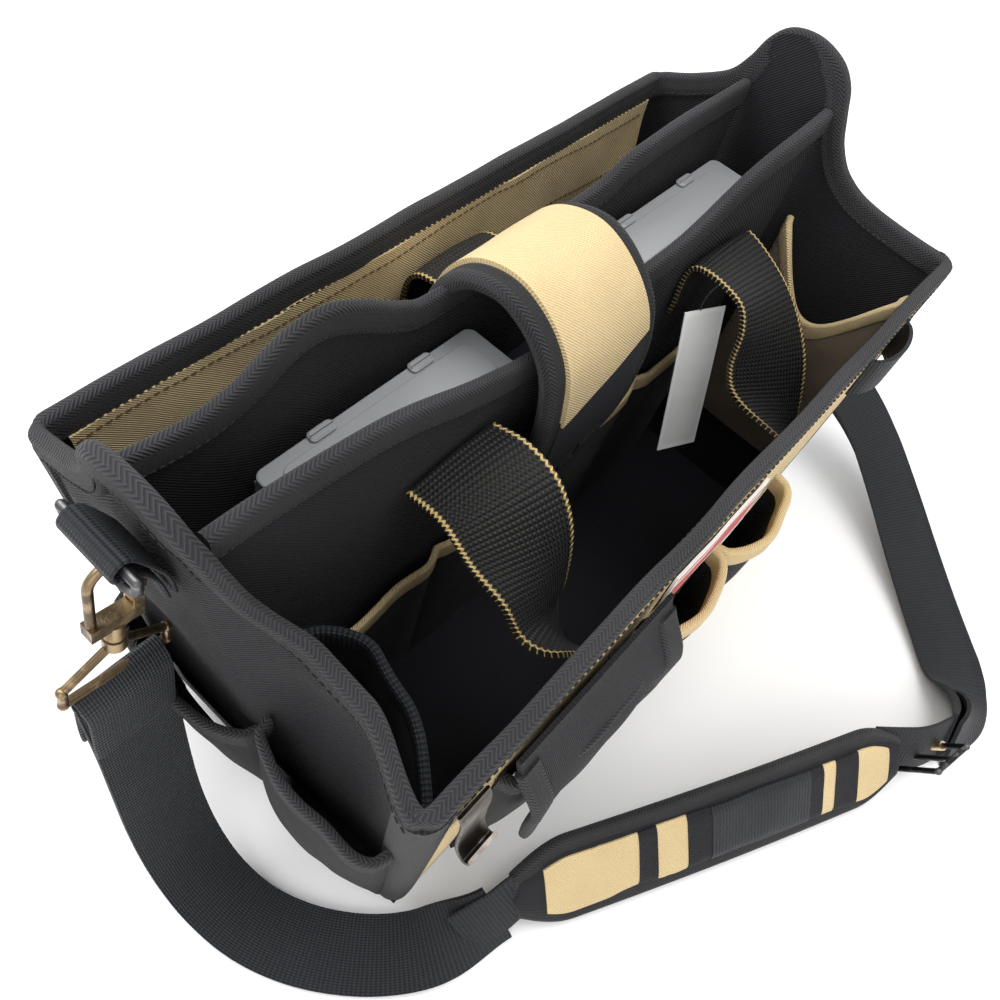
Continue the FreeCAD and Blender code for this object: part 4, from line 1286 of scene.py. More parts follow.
@dataclass
class PartsBoxes:
    """Two plastic boxes with lids, on the sling of the middle bay."""

    finishes: Finishes
    corner: float = 5.0

    def rounded(self, name: str, low: Array, high: Array, ease: float) -> bpy.types.Object:
        """A plate with rounded corners and eased edges.

        Args:
            name: the plate's name.
            low: its lowest corner.
            high: its highest corner.
            ease: how far its edges are eased.

        Returns:
            The plate.
        """
        size = high - low
        rows = []
        for z, inset in ((low[2], ease), (low[2] + ease, 0.0), (high[2] - ease, 0.0), (high[2], ease)):
            radius = min(self.corner, 0.4 * min(size[:2]))
            ring = rounded_bar(size[0] - 2 * inset, size[1] - 2 * inset, radius, 7) + ((low + high) / 2)[:2]
            rows.append(np.column_stack([ring, np.full(len(ring), z)]))
        grid = np.stack(rows)
        faces = Maker.grid_faces(4, grid.shape[1], 0, True, False)
        count = grid.shape[1]
        faces.append(tuple(reversed(range(count))))
        faces.append(tuple(range(3 * count, 4 * count)))
        flat = grid.reshape(-1, 3)
        made = Maker.mesh(name, flat, faces, flat[:, :2], 30)
        Maker.outward(made)
        return made

    def lid(self, side: str) -> None:
        """Makes a lid with a raised panel, a latch lug and two hinge lugs.

        Args:
            side: left or right.
        """
        node = f"{side}_box_lid"
        low, high = room_of(node)
        plate = self.rounded(f"{side}_lid_plate", low, high, 0.5)
        inner = np.array([9.0, 6.0, 0.0])
        panel = self.rounded(f"{side}_lid_panel", low * (1, 1, 0) + inner + (0, 0, high[2] - 0.3),
                             high - inner + (0, 0, 0.8), 0.4)
        lugs = [plate, panel]
        middle = (low[0] + high[0]) / 2
        for x in (middle - 30, middle + 30):
            lugs.append(self.rounded(f"{side}_lug_{x:.0f}", np.array([x - 7, high[1] - 5.5, high[2] - 0.4]),
                                     np.array([x + 7, high[1] + 0.8, high[2] + 2.2]), 0.8))
        lugs.append(self.rounded(f"{side}_latch", np.array([middle - 11, low[1] - 1.6, low[2] - 3.0]),
                                 np.array([middle + 11, low[1] + 4.0, high[2] + 1.4]), 0.7))
        made = Maker.join(f"{side}_lid", lugs)
        settle(made, f"{side}_lid", self.finishes.plastic, "grey_plastic", node)

    def build(self) -> None:
        """Makes the lids and finishes the trays."""
        for side in ("left", "right"):
            self.lid(side)
            finish_part(f"{side}_box_tray", self.finishes.plastic)


def finish_part(node: str, finish: bpy.types.Material) -> None:
    """Gives a part that keeps its own mesh a finish.

    Args:
        node: the part.
        finish: its material.
    """
    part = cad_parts[node]
    part.data.materials.clear()
    part.data.materials.append(finish)


# ------------------------------------------------------------------ elastic loops


@dataclass
class ElasticLoops:
    """Wide ribbed elastic bands that hold tools, each between two shaped edges."""

    finishes: Finishes
    thick: float = 2.2

    def band(self, name: str, first: Sequence, second: Sequence, node: str) -> None:
        """Makes a band between its two edges, given as points.

        Args:
            name: the piece's name.
            first: the points of its first edge.
            second: the points of its second edge.
            node: the plain part that it replaces.
        """
        edges = [through(points, 90) for points in (first, second)]
        share = np.linspace(0, 1, 15)[:, None, None]
        middle = edges[0][None] * (1 - share) + edges[1][None] * share
        heading = unit(np.gradient(middle, axis=1))
        normal = unit(np.cross(heading, edges[1][None] - edges[0][None]))
        middle = middle + normal * 1.6 * np.sin(np.pi * share)
        walked = walked_along(middle[7])
        wide = np.linspace(0, Finishes.ELASTIC_WIDE, 15)
        cloth = np.stack(np.broadcast_arrays(walked[None, :], wide[:, None]), axis=-1)
        made = Maker.sheet(name, middle, self.thick, cloth)
        settle(made, "root", self.finishes.elastic, "ribbed_elastic", node)

    def build(self) -> None:
        """Makes the three bands."""
        near = [(-117, -3.5, 229), (-117, -23.5, 229), (-117, -43.5, 216), (-117, -62.5, 210),
                (-117, -76.5, 198), (-117, -89.5, 204), (-117, -102, 226)]
        far = [(-60, -3.5, 230), (-60, -23.5, 235), (-60, -43.5, 228), (-60, -58.5, 204), (-61, -66.5, 166),
               (-61, -68, 142), (-60, -79.5, 116), (-60, -99, 122)]
        self.band("left_tool_elastic", near, far, "left_elastic_loop")
        near = [(95, -5.5, 204), (95, -7.5, 238), (95, -35.5, 238), (95, -46.5, 224), (95, -51.5, 196),
                (95, -64.5, 181), (95, -99, 177)]
        far = [(152, 3.0, 191), (152, -7.5, 230), (152, -15, 235), (153, -46.5, 218), (154, -73.5, 189),
               (155, -88.5, 156), (155, -98.5, 120)]
        self.band("right_tool_elastic", near, far, "right_elastic_loop")
        low, high = room_of("back_elastic_loop")
        front, back = low[1] + 1.2, high[1] - 1.2
        route = [(back, low[2] + 6), (back - 4, high[2] - 14), ((front + back) / 2 + 4, high[2] - 2),
                 (front + 8, high[2] - 10), (front + 1, high[2] - 36), (front, low[2] + 12)]
        edges = [[(x, y, z) for y, z in route] for x in (low[0] + 0.5, high[0] - 0.5)]
        self.band("back_tool_elastic", edges[0], edges[1], "back_elastic_loop")


# ------------------------------------------------------------------ pockets


@dataclass
class Pockets:
    """Sewn pockets on the walls and dividers."""

    finishes: Finishes

    def one(self, name: str, side: Side, span: Pair, rise: Pair, depth: float,
            cloth: bpy.types.Material, slot: str, nodes: Sequence[str],
            trim: Optional[bpy.types.Material] = None, sag: float = 0.0, base: float = 2.4,
            inward: bool = False, square: float = 0.4, near: float = 1.0) -> None:
        """Makes a pocket that bellies away from a wall, with its bound mouth.

        Args:
            name: the piece's name.
            side: the wall that it is sewn to.
            span: where it starts and ends along the wall.
            rise: the heights of its foot and its mouth.
            depth: how far the mouth stands off.
            cloth: its finish.
            slot: the record's slot for that finish.
            nodes: the plain parts that it replaces.
            trim: the tape's finish.
            sag: how far the mouth's middle drops.
            base: how far its sewn edges stand off the wall.
            inward: whether it hangs inside the bag.
            square: how round the mouth is, from 0.1, square, to 1.
            near: the share of its depth at its first end.
        """
        share = np.linspace(0, 1, 46)[None, :]
        lift = np.linspace(0, 1, 34)[:, None]
        along = span[0] + (span[1] - span[0]) * share + 0 * lift
        mouth = rise[1] - sag * np.sin(np.pi * share) ** 1.4
        z = rise[0] + (mouth - rise[0]) * lift
        belly = np.clip(np.sin(np.pi * share), 0, 1) ** square * (near + (1 - near) * share)
        belly = belly * (0.18 + 0.82 * np.sin(np.pi / 2 * lift) ** 0.8)
        loose = soft_step(lift, 0, 0.2)
        fold = Creases(seed_of(name), 1.3, 70, 20).at(along, z) * np.sin(np.pi * share) * loose
        off = base + depth * belly + fold
        off = -(FORM.wall + off) if inward else off
        middle = FORM.at(side, along, z, off)
        made = Maker.sheet(name, middle, 2.0)
        settle(made, "root", cloth, slot, *nodes)
        edge = evenly(middle[-1], 90)
        down = np.broadcast_to(np.array([0.0, 0.0, -1.0]), edge.shape)
        out = unit(np.cross(tangents(edge), down))
        tape = bound(f"{name}_trim", edge, out, down, 13.0, 4.6)
        settle(tape, "root", trim or self.finishes.tape, "binding_tape")

    def outside(self) -> None:
        """Makes the pockets on the outside of the ends and the front."""
        cloth = self.finishes.cloth
        for side, name in ((Side.LEFT, "left"), (Side.RIGHT, "right")):
            nodes = (f"{name}_outer_pockets",)
            self.one(f"{name}_outer_pocket_front", side, (-98, -22), (14, 172), 18, cloth, "black_fabric",
                     nodes)
            self.one(f"{name}_outer_pocket_back", side, (-16, 78), (14, 150), 15, cloth, "black_fabric",
                     nodes)
        self.one("front_pouch_cloth", Side.FRONT, (-170, -70), (16, 200), 17, cloth, "black_fabric",
                 ("front_pouch",))
        self.one("front_small_left", Side.FRONT, (-66, 2), (22, 180), 17, cloth, "black_fabric",
                 ("front_small_pocket_left",), self.finishes.tan)
        self.one("front_small_right", Side.FRONT, (4, 70), (22, 180), 17, cloth, "black_fabric",
                 ("front_small_pocket_right",), self.finishes.tan)

    def inside(self) -> None:
        """Makes the pockets inside the ends, and the row on the front divider."""
        self.one("left_inside_pocket", Side.LEFT, (-101, -12), (60, 204), 36, self.finishes.lining,
                 "black_fabric",
                 ("left_inner_pocket",), self.finishes.webbing, 2, inward=True, square=0.2, near=0.35)
        self.one("right_inside_pocket", Side.RIGHT, (-103, -14), (60, 221), 12, self.finishes.brown,
                 "tan_fabric", ("right_inner_pocket",), self.finishes.tan, 46, inward=True)
        self.row()

    def row(self) -> None:
        """Makes the gathered row of pockets on the front divider, with its tan edge."""
        low, high = room_of("divider_pocket_row")
        x, z = np.meshgrid(np.linspace(low[0], high[0], 160), np.linspace(low[2], high[2] - 2, 30))
        share = (x - low[0]) / (high[0] - low[0])
        lift = (z - low[2]) / (high[2] - low[2])
        scallop = np.abs(np.sin(4 * np.pi * share)) ** 0.6
        depth = (5.0 + 9.0 * scallop) * (0.3 + 0.7 * lift)
        y = high[1] - 1.5 - np.minimum(depth, high[1] - low[1]) + Creases(52, 0.9, 60, 20).at(x, z) * lift
        tops = z + 3.0 * np.sin(share * 9.0) * lift
        middle = np.stack([x, y, tops], axis=-1)
        cloth = Maker.sheet("pocket_row", middle, 1.8)
        settle(cloth, "root", self.finishes.lining, "black_fabric", "divider_pocket_row")
        edge = evenly(middle[-1], 160)
        down = np.broadcast_to(np.array([0.0, 0.0, -1.0]), edge.shape)
        out = unit(np.cross(tangents(edge), down))
        tape = bound("pocket_row_edge", edge, out, down, 12.0, 3.6)
        settle(tape, "root", self.finishes.tan, "tan_fabric", "divider_pocket_edge")

    def build(self) -> None:
        """Makes all the pockets."""
        self.outside()
        self.inside()


# ------------------------------------------------------------------ small parts on the front


@dataclass
class FrontDetails:
    """The flap, patch, tape clip, tool loop, inside webbing and hang tag."""

    finishes: Finishes

    def flap(self) -> None:
        """Makes the flap over the pouch, on its hinge line under the rim."""
        share = np.linspace(0, 1, 40)[None, :]
        drop = np.linspace(0, 1, 30)[:, None]
        along = -170 + 100 * share + 0 * drop
        tuck = 1.0 - 0.10 * np.abs(2 * share - 1) ** 6
        z = 231 - 79 * drop * tuck
        off = 5.5 + 17.0 * soft_step(drop, 0, 0.55) + 1.2 * Creases(71, 1.0, 60, 22).at(along, z) * drop
        middle = FORM.at(Side.FRONT, along, z, off)
        cloth = Maker.sheet("pouch_flap_cloth", middle, 2.2)
        settle(cloth, "pouch_flap", self.finishes.cloth, "black_fabric", "front_flap")
        edge = evenly(np.vstack([middle[4:, 0], middle[-1, 1:], middle[:3:-1, -1][1:]]), 120)
        inward = unit(middle[8, 20] - edge)
        out = unit(np.cross(tangents(edge), inward))
        inward = unit(np.cross(tangents(edge), out))
        inward = turned_to(inward, middle[8, 20] - edge)
        tape = bound("pouch_flap_tape", edge, out, inward, 12.0, 4.6)
        settle(tape, "pouch_flap", self.finishes.tape, "binding_tape")

    def flat(self, name: str, side: Side, span: Pair, rise: Pair, off: float,
             thick: float, finish: bpy.types.Material, slot: str, node: str) -> None:
        """Makes a flat piece sewn on a wall.

        Args:
            name: the piece's name.
            side: the wall.
            span: where it starts and ends along the wall.
            rise: its heights.
            off: how far its middle stands off the wall.
            thick: its thickness.
            finish: its material.
            slot: the record's slot for it.
            node: the plain part that it replaces.
        """
        x, z = np.meshgrid(np.linspace(*span, 50), np.linspace(*rise, 16))
        fold = 0.4 * Creases(seed_of(name), 0.8, 60, 20).at(x, z)
        made = Maker.sheet(name, FORM.at(side, x, z, off + fold), thick,
                           np.stack([x - span[0], z - rise[0]], axis=-1))
        settle(made, "root", finish, slot, node)

    def tape_clip(self) -> None:
        """Bends the metal tape clip over the rim."""
        route = [(-110.6, 236), (-112.4, 233), (-113.4, 226), (-114.0, 214), (-115.5, 203), (-119.0, 197),
                 (-121.8, 198), (-122.4, 203)]
        line = through(route, 60)
        path = np.column_stack([np.full(60, -192.0), line])
        side = np.broadcast_to(np.array([1.0, 0.0, 0.0]), path.shape)
        up = unit(np.cross(tangents(path), side))
        clip = Maker.swept("tape_clip_plate", path, side, up, rounded_bar(16, 1.8, 0.8), False, 40)
        settle(clip, "root", self.finishes.steel, "dark_metal", "tape_clip")

    def tool_loop(self) -> None:
        """Makes the tool loop, a strip that stands off the wall between two sewn ends."""
        x = np.linspace(124, 176, 50)
        off = 1.8 + 9.0 * np.sin(np.pi * np.clip((x - 128) / 44, 0, 1)) ** 0.5
        z = np.linspace(207, 232, 12)[:, None]
        made = Maker.sheet("tool_loop_strip", FORM.at(Side.FRONT, x[None, :], z, off[None, :]), 2.2)
        settle(made, "root", self.finishes.webbing, "black_webbing", "tool_loop")

    def tag(self) -> None:
        """Hangs the blank card tag on a short string."""
        y, z = np.meshgrid(np.linspace(-44, -14, 12), np.linspace(118, 206, 26))
        lean = (z - 118) / 88.0
        x = 84.0 + 12.0 * lean - 0.8 * (y + 29) + 2.0 * np.sin((z - 118) / 44.0)
        y = -50.0 + 27.0 * lean + 0.4 * (y + 29)
        z = z + 13
        card = Maker.sheet("hang_tag_card", np.stack([x, y, z], axis=-1), 0.7)
        settle(card, "root", self.finishes.card, "card", "hang_tag")
        string = through([(95, -22, 215), (95, -21, 224), (95, -22, 232), (95.5, -24, 239)], 30)
        side = unit(np.cross(tangents(string), (1.0, 0.3, 0.0)))
        up = np.cross(tangents(string), side)
        thread = Maker.swept("hang_tag_string", string, side, up, rounded_bar(1.1, 1.1, 0.5), False, 80)
        settle(thread, "root", self.finishes.black_thread, "card")

    def build(self) -> None:
        """Makes all the small parts."""
        self.flap()
        self.flat("front_patch_weave", Side.FRONT, (-62, 16), (190, 230), 2.9, 1.4,
                  PatchFinish("woven_patch", (0.52, 0.025, 0.02), (0.8, 0.79, 0.77), 78.0, 40.0).make(),
                  "woven_patch", "front_patch")
        self.flat("front_inside_web", Side.FRONT, (-70, 150), (150, 186), -5.6, 1.6, self.finishes.webbing,
                  "black_webbing", "front_inner_webbing")
        self.tape_clip()
        self.tool_loop()
        self.tag()


# ------------------------------------------------------------------ shoulder strap


@dataclass(frozen=True)
class StrapRoute:
    """A run of the shoulder strap: its way, in the object's frame in millimetres, and its last tilt."""

    name: str
    node: str
    points: tuple[Triple, ...]
    last_across: Triple


@dataclass
class Strap:
    """The webbing of the shoulder strap, in three free runs, made as ribbons."""

    finishes: Finishes
    wide: float = 40.0
    thick: float = 2.6
    cup: float = 0.35
    over_floor: float = 0.5
    routes: tuple[StrapRoute, ...] = (
        StrapRoute("strap_left", "strap_left_run",
                   ((-242.6, 36.6, 194.5), (-245, 35, 150), (-250, 30, 104), (-256, 20, 62), (-260, 4, 30),
                    (-261, -18, 10), (-257, -46, 5), (-244, -76, 4), (-222, -105, 4), (-195, -126, 8),
                    (-165, -137, 19)), (0.307, 0.565, 0.766)),
        StrapRoute("strap_right", "strap_right_run",
                   ((242.6, 33.8, 197), (252, 27, 160), (268, 9, 130), (282, -20, 102), (292, -64, 84),
                    (290, -116, 62), (271, -162, 37), (246, -200, 21), (220, -234, 12), (196, -262, 8.5),
                    (174, -283, 9), (148, -292, 16), (123, -289, 25)), (0.242, 0.36, 0.9)),
        StrapRoute("strap_under", "strap_under_run",
                   ((243, 40.8, 197), (255, 34, 156), (273, 15, 124), (289, -14, 92), (299, -60, 75),
                    (297, -118, 54), (278, -167, 29), (253, -207, 14), (227, -241, 6), (203, -269, 3.5),
                    (181, -291, 3.5), (153, -302, 9), (125, -296, 17)), (0.242, 0.36, 0.9)),
    )

    @staticmethod
    def centre(route: StrapRoute) -> Array:
        """Reads the run's line from a smooth curve through its points, in metres.

        Args:
            route: the run.

        Returns:
            The line's points.
        """
        curve = bpy.data.curves.new(f"{route.name}_line", "CURVE")
        curve.dimensions = "3D"
        spline = curve.splines.new("NURBS")
        spline.points.add(len(route.points) - 1)
        for spot, place in zip(spline.points, route.points):
            spot.co = (place[0] * MM, place[1] * MM, place[2] * MM, 1.0)
        spline.order_u = 3
        spline.use_endpoint_u = True
        spline.resolution_u = 24
        line = bpy.data.objects.new(f"{route.name}_line", curve)
        bpy.context.scene.collection.objects.link(line)
        bpy.context.view_layer.update()
        evaluated = line.evaluated_get(bpy.context.evaluated_depsgraph_get())
        drawn = bpy.data.meshes.new_from_object(evaluated)
        points = np.array([corner.co for corner in drawn.vertices])
        bpy.data.objects.remove(line)
        bpy.data.meshes.remove(drawn)
        return points

    @staticmethod
    def carried(heading: Array, last: Array) -> Array:
        """Carries the width's direction along the run without a twist, and turns it to the last one.

        Args:
            heading: the run's direction at each point.
            last: the last direction across.

        Returns:
            A direction across for each point.
        """
        rows = [np.array([1.0, 0.0, 0.0])]
        for turned in heading:
            rows.append(unit(rows[-1] - turned * (rows[-1] @ turned)))
        across = np.array(rows[1:])
        last = last if across[-1] @ last > 0 else -last
        share = soft_step(np.linspace(0, 1, len(heading)), 0.84, 1.0)[:, None]
        mixed = across * (1 - share) + last * share
        return squared(mixed, heading)

    def run(self, route: StrapRoute) -> None:
        """Args:
            route: the run.
        """
        line = self.centre(route)
        path = evenly(to_bag(line), 150)
        heading = tangents(path)
        across = self.carried(heading, np.array(route.last_across))
        up = np.cross(heading, across)
        low = path[:, 2] - np.abs(across[:, 2]) * self.wide / 2 - np.abs(up[:, 2]) * self.thick / 2
        lift = np.maximum(self.over_floor - low, 0)
        path = path + lift[:, None] * (0, 0, 1)
        half = self.wide / 2
        spots = np.linspace(-half, half, 9)
        top = np.column_stack([spots, self.thick / 2 - self.cup * (spots / half) ** 2])
        under = np.column_stack([spots[::-1], -self.thick / 2 - self.cup * (spots[::-1] / half) ** 2])
        ribbon = Maker.swept(route.name, path, across, up, np.vstack([top, under]), False, 60)
        settle(ribbon, "root", self.finishes.webbing, "black_webbing", route.node)

    def build(self) -> None:
        """Makes the three runs."""
        for route in self.routes:
            self.run(route)


# ------------------------------------------------------------------ shoulder pad and fittings


@dataclass
class ShoulderPad:
    """The padded sleeve on the strap: a filled body, a bound edge, tan patches and black bands."""

    finishes: Finishes
    start: Triple = (-153.0, -149.3, 25.6)
    along: Triple = (0.879, -0.477, 0.0)
    across: Triple = (0.307, 0.565, 0.766)
    out: Triple = (-0.365, -0.673, 0.643)
    length: float = 270.0
    half: float = 27.0
    tip_half: float = 13.0
    taper: float = 34.0
    thick: float = 9.0
    reach: float = 0.03
    face: Optional[BVHTree] = None

    def width(self, walked: Array) -> Array:
        """Half of the pad's width along it."""
        near = np.minimum(walked, self.length - walked)
        full = np.sin(np.pi / 2 * np.clip(near / self.taper, 0, 1))
        return self.tip_half + (self.half - self.tip_half) * full

    def at(self, walked: Array, side: Array, lift: Array = 0.0) -> Array:
        """Points on the pad, by distances along, across and out from its middle.

        Args:
            walked: distances along.
            side: distances across.
            lift: distances out.

        Returns:
            Points with a last axis of 3.
        """
        walked, side, lift = np.broadcast_arrays(np.asarray(walked, float), side, lift)
        bend = 2.6 * np.sin(np.pi * walked / self.length) + lift
        frame = [np.array(v) for v in (self.along, self.across, self.out)]
        return (np.array(self.start) + walked[..., None] * frame[0] + side[..., None] * frame[1]
                + bend[..., None] * frame[2])

    def body(self) -> None:
        """Makes the filled body, and lets it swell."""
        walked = np.linspace(0, self.length, 80)[:, None]
        share = np.sin(np.linspace(-1, 1, 21) * np.pi / 2)[None, :]
        side = share * (self.width(walked) - 2)
        plump = self.thick / 2 * (0.55 + 0.45 * (1 - share ** 4)) * np.ones(walked.shape)
        cloth = np.stack(np.broadcast_arrays(walked + 0 * side, side), axis=-1)
        fold = 0.5 * Creases(81, 1.0, 60, 18).at(walked + 0 * side, side)
        pad = Maker.slab("shoulder_pad_body", self.at(walked, side, plump + fold),
                         self.at(walked, side, -plump), cloth)
        swell(pad, 5.0, 0.0018)
        self.face = BVHTree.FromPolygons([corner.co for corner in pad.data.vertices],
                                         [face.vertices for face in pad.data.polygons])
        settle(pad, "root", self.finishes.cloth_soft, "black_fabric", "shoulder_pad")

    def edge(self) -> None:
        """Folds ribbed tape round the pad's edge."""
        walked = np.linspace(0, self.length, 120)
        side = self.width(walked)
        ring = np.vstack([np.column_stack([walked, side]), np.column_stack([walked[::-1], -side[::-1]])])
        ring = evenly(np.vstack([ring, ring[:1]]), 261)[:-1]
        path = self.at(ring[:, 0], ring[:, 1])
        out = np.broadcast_to(np.array(self.out), path.shape)
        inward = np.cross(tangents(path, True), out)
        inward = turned_to(inward, self.at(self.length / 2, 0.0) - path)
        tape = bound("shoulder_pad_tape", path, out, inward, 11.0, 7.4, True)
        settle(tape, "root", self.finishes.tape, "binding_tape")

    def strip(self, name: str, start: float, end: float, cover: float, lift: float,
              finish: bpy.types.Material, slot: str) -> None:
        """Sews a piece across the pad's outer face, on the surface as it has swollen.

        Args:
            name: the piece's name.
            start: where it starts along the pad.
            end: where it ends.
            cover: how far it stays from the pad's edge.
            lift: how far it stands out.
            finish: its material.
            slot: the record's slot for it.
        """
        walked = np.linspace(start, end, 24)[None, :]
        side = np.linspace(-1, 1, 22)[:, None] * (self.width(walked) - cover)
        foot = self.rest_on(self.at(walked, side))
        cloth = np.stack(np.broadcast_arrays(walked + 0 * side, side), axis=-1)
        out = np.array(self.out)
        made = Maker.slab(name, foot + out * (0.7 + lift), foot - out * 1.2, cloth)
        settle(made, "root", finish, slot)

    def rest_on(self, points: Array) -> Array:
        """Moves points out or in until they lie on the pad's outer face.

        Args:
            points: the points.

        Returns:
            The moved points.
        """
        out = Vector(self.out)
        placed = np.empty_like(points)
        for spot in np.ndindex(points.shape[:2]):
            middle = Vector(to_object(points[spot]))
            hit = self.face.ray_cast(middle + out * self.reach, -out)[0]
            placed[spot] = to_bag(hit if hit else middle)
        return placed

    def build(self) -> None:
        """Makes the pad."""
        self.body()
        self.edge()
        self.strip("pad_tan_near", 16, 76, 8.0, 0.3, self.finishes.tan, "tan_fabric")
        self.strip("pad_tan_second", 84, 108, 8.0, 0.3, self.finishes.tan, "tan_fabric")
        self.strip("pad_tan_third", 202, 216, 8.0, 0.3, self.finishes.tan, "tan_fabric")
        self.strip("pad_tan_far", 230, 258, 8.0, 0.3, self.finishes.tan, "tan_fabric")
        self.strip("pad_ribbed_web", 122, 194, 7.5, 1.4, self.finishes.webbing, "black_webbing")
        for index, (start, end) in enumerate(((74, 86), (106, 124), (192, 204), (214, 232))):
            self.strip(f"pad_band_{index}", start, end, 7.6, 1.0, self.finishes.cloth, "black_fabric")


def swell(piece: bpy.types.Object, pressure: float, most: float) -> None:
    """Fills a closed cloth body with a little air, as a short cloth simulation does, and keeps its shape.

    Args:
        piece: the body.
        pressure: the air's push.
        most: the furthest that any point may move, in metres.
    """
    remesh = piece.modifiers.new("even", "REMESH")
    remesh.mode = "VOXEL"
    remesh.voxel_size = 0.0035
    freeze(piece)
    rest = np.array([corner.co for corner in piece.data.vertices])
    cloth = piece.modifiers.new("air", "CLOTH")
    cloth.settings.use_pressure = True
    cloth.settings.uniform_pressure_force = pressure
    cloth.settings.quality = 6
    cloth.settings.mass = 0.3
    cloth.settings.effector_weights.gravity = 0.0
    cloth.settings.shrink_min = -0.03
    scene = bpy.context.scene
    cloth.point_cache.frame_start = 1
    cloth.point_cache.frame_end = 20
    for frame in range(1, 21):
        scene.frame_set(frame)
    freeze(piece)
    scene.frame_set(1)
    moved = np.array([corner.co for corner in piece.data.vertices]) - rest
    far = np.linalg.norm(moved, axis=1, keepdims=True)
    rest = rest + moved * np.minimum(1.0, most / np.maximum(far, 1e-9))
    piece.data.vertices.foreach_set("co", rest.astype(np.float32).ravel())
    smooth = piece.modifiers.new("round", "SUBSURF")
    smooth.levels = smooth.render_levels = 1
    freeze(piece)
    piece.data.shade_smooth()


def freeze(piece: bpy.types.Object) -> None:
    """Turns what a piece's modifiers make into its own mesh.

    Args:
        piece: the piece.
    """
    bpy.context.view_layer.update()
    evaluated = piece.evaluated_get(bpy.context.evaluated_depsgraph_get())
    data = bpy.data.meshes.new_from_object(evaluated)
    piece.modifiers.clear()
    piece.data = data


@dataclass
class Fittings:
    """Metal hardware, and the short webbing pieces that hold it."""

    finishes: Finishes

    def ring_tab(self, side: str, sign: int) -> None:
        """Rolls a short piece of webbing round the ring and back to the raised end.

        Args:
            side: left or right.
            sign: -1 on the left and 1 on the right.
        """
        route = [(217.4, 253), (218.4, 266), (223, 279), (227.6, 288.6), (231.5, 290.7), (235.2, 288),
                 (235.2, 283.8), (231.5, 281.4), (226.0, 276.5), (222.0, 266), (220.4, 253)]
        line = through([(sign * x, z) for x, z in route], 80)
        path = np.column_stack([line[:, 0], np.full(80, 25.0), line[:, 1]])
        across = np.broadcast_to(np.array([0.0, 1.0, 0.0]), path.shape)
        up = unit(np.cross(tangents(path), across))
        tab = Maker.swept(f"{side}_tab", path, across, up, rounded_bar(28, 1.8, 0.8), False, 50)
        settle(tab, "root", self.finishes.webbing, "black_webbing", f"{side}_ring_tab")

    def strap_end(self, side: str, sign: int) -> None:
        """Folds the strap's end over the hook's bar and sews it down.

        Args:
            side: left or right.
            sign: -1 on the left and 1 on the right.
        """
        route = [(19.6, 152), (20.0, 178), (20.6, 194), (25.0, 201.2), (29.4, 194), (30.2, 178), (30.0, 152)]
        line = through(route, 70)
        drift = 242.6 + 4.0 * soft_step(line[:, 1], 190, 150)
        path = np.column_stack([sign * drift, line])
        across = np.broadcast_to(np.array([1.0, 0.0, 0.0]), path.shape)
        heading = tangents(path)
        across = squared(across, heading)
        fold = Maker.swept(f"{side}_strap_end", path, across, np.cross(heading, across),
                           rounded_bar(38.5, 2.2, 1.0))
        settle(fold, "root", self.finishes.webbing, "black_webbing")

    def link(self, name: str, route: Sequence[Triple], across: Triple,
             wide: float) -> None:
        """Makes a short piece of webbing along a route.

        Args:
            name: the piece's name.
            route: the points that it passes.
            across: the direction across it.
            wide: its width.
        """
        path = through(route, 60)
        heading = tangents(path)
        level = np.broadcast_to(unit(np.array(across)), path.shape)
        level = squared(level, heading)
        web = Maker.swept(name, path, level, np.cross(heading, level), rounded_bar(wide, 2.4, 1.1))
        settle(web, "root", self.finishes.webbing, "black_webbing")

    def build(self) -> None:
        """Finishes the metal parts and makes the webbing pieces."""
        for side, sign in (("left", -1), ("right", 1)):
            self.ring_tab(side, sign)
            self.strap_end(side, sign)
            for part in ("hook_body", "hook_gate", "hook_eye"):
                finish_part(f"{side}_{part}", self.finishes.bronze)
            finish_part(f"{side}_d_ring", self.finishes.gunmetal)
        self.link("slider_webbing", ((74, -262, 25.6), (86, -275, 26), (98, -286.5, 25.6), (110, -294, 24),
                                     (126, -301, 21)), (0.242, 0.36, 0.9), 39)
        self.link("pad_webbing",
                  ((-186, -141, 12.5), (-176, -144.5, 17.5), (-165, -148, 22.5), (-153, -150.5, 26.4),
                                  (-142, -155, 27.5)), (0.307, 0.565, 0.766), 30)
        finish_part("slider_frame", self.finishes.gunmetal)
        finish_part("slider_roller", self.finishes.brass)


# ------------------------------------------------------------------ studio


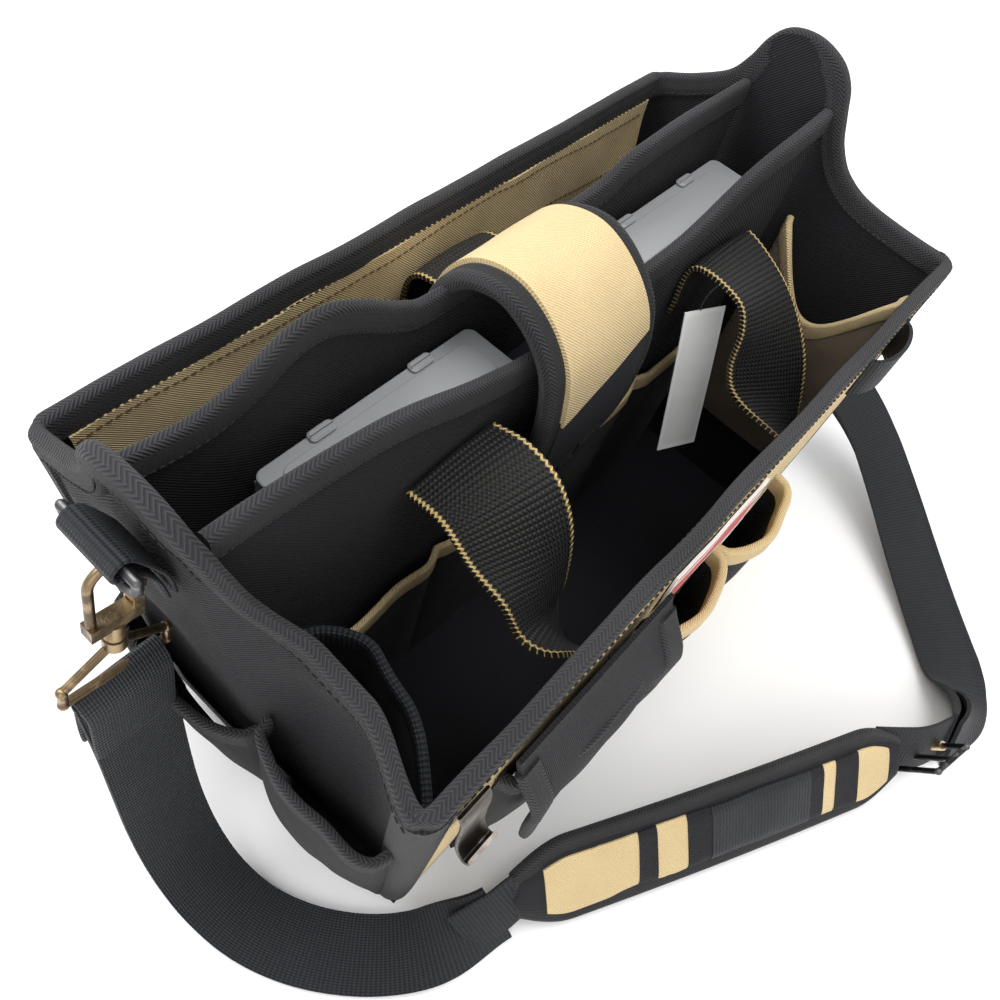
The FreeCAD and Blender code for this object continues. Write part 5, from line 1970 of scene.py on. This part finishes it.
@dataclass(frozen=True)
class Studio:
    """Camera, floor and soft lights."""

    eye: Triple = (-0.2781, -0.11544, 0.5392)
    right: Triple = (0.65485, -0.73507, 0.17564)
    up: Triple = (0.56286, 0.62944, 0.53571)
    back: Triple = (-0.50434, -0.25195, 0.82593)
    lens: float = 31.29

    def camera(self) -> None:
        """Makes the camera."""
        data = bpy.data.cameras.new("camera")
        data.lens = self.lens
        data.sensor_width = 36.0
        data.clip_start = 0.01
        made = bpy.data.objects.new("camera", data)
        turn = Matrix((self.right, self.up, self.back)).transposed().to_4x4()
        made.matrix_world = Matrix.Translation(self.eye) @ turn
        bpy.context.scene.collection.objects.link(made)
        bpy.context.scene.camera = made

    def lamp(self, name: str, spot: Sequence[float], aim: Sequence[float], size: float, power: float,
             tint: Sequence[float] = (1.0, 1.0, 1.0)) -> None:
        """Hangs a soft square light that faces a point.

        Args:
            name: the light's name.
            spot: where it hangs.
            aim: the point that it faces.
            size: its side.
            power: its power in watts.
            tint: its colour.
        """
        data = bpy.data.lights.new(name, "AREA")
        data.shape = "SQUARE"
        data.size = size
        data.energy = power
        data.color = tint
        made = bpy.data.objects.new(name, data)
        made.location = spot
        made.rotation_mode = "QUATERNION"
        made.rotation_quaternion = (Vector(aim) - Vector(spot)).to_track_quat("-Z", "Y")
        bpy.context.scene.collection.objects.link(made)

    def floor(self) -> None:
        """Lays a plain pale floor."""
        data = bpy.data.meshes.new("floor")
        data.from_pydata([(x, y, 0.0) for x, y in ((-6, -6), (6, -6), (6, 6), (-6, 6))], [], [(0, 1, 2, 3)])
        made = bpy.data.objects.new("floor", data)
        bpy.context.scene.collection.objects.link(made)
        shade = Shade("pale_floor", 0.9)
        grain = shade.noise(40.0, 2.0)
        data.materials.append(shade.done(shade.blend(grain, (0.88, 0.88, 0.88), (0.9, 0.9, 0.9))))

    def light(self) -> None:
        """Lights the scene."""
        world = bpy.data.worlds.new("studio")
        world.use_nodes = True
        sky = world.node_tree.nodes["Background"]
        sky.inputs["Color"].default_value = (1.0, 1.0, 1.0, 1.0)
        sky.inputs["Strength"].default_value = 0.9
        bpy.context.scene.world = world
        bpy.context.scene.view_settings.view_transform = "Standard"
        self.lamp("window", (-0.5, 1.0, 1.5), (0.0, 0.0, 0.15), 1.2, 22)
        self.lamp("fill", (-1.3, -0.9, 1.0), (0.0, 0.0, 0.15), 1.4, 12)
        self.lamp("top", (0.3, -0.2, 1.9), (0.0, 0.0, 0.1), 1.0, 16)


def main() -> None:
    """Builds the bag and its setting."""
    logging.basicConfig(level=logging.INFO, format="%(message)s")
    studio = Studio()
    studio.camera()
    finishes = Finishes()
    Strap(finishes).build()
    for section in (Shell, Dividers, Handle, PartsBoxes, ElasticLoops, Pockets, FrontDetails, ShoulderPad,
                    Fittings):
        LOG.info("building %s", section.__name__)
        section(finishes).build()
    studio.floor()
    studio.light()


if __name__ == "__main__":
    main()
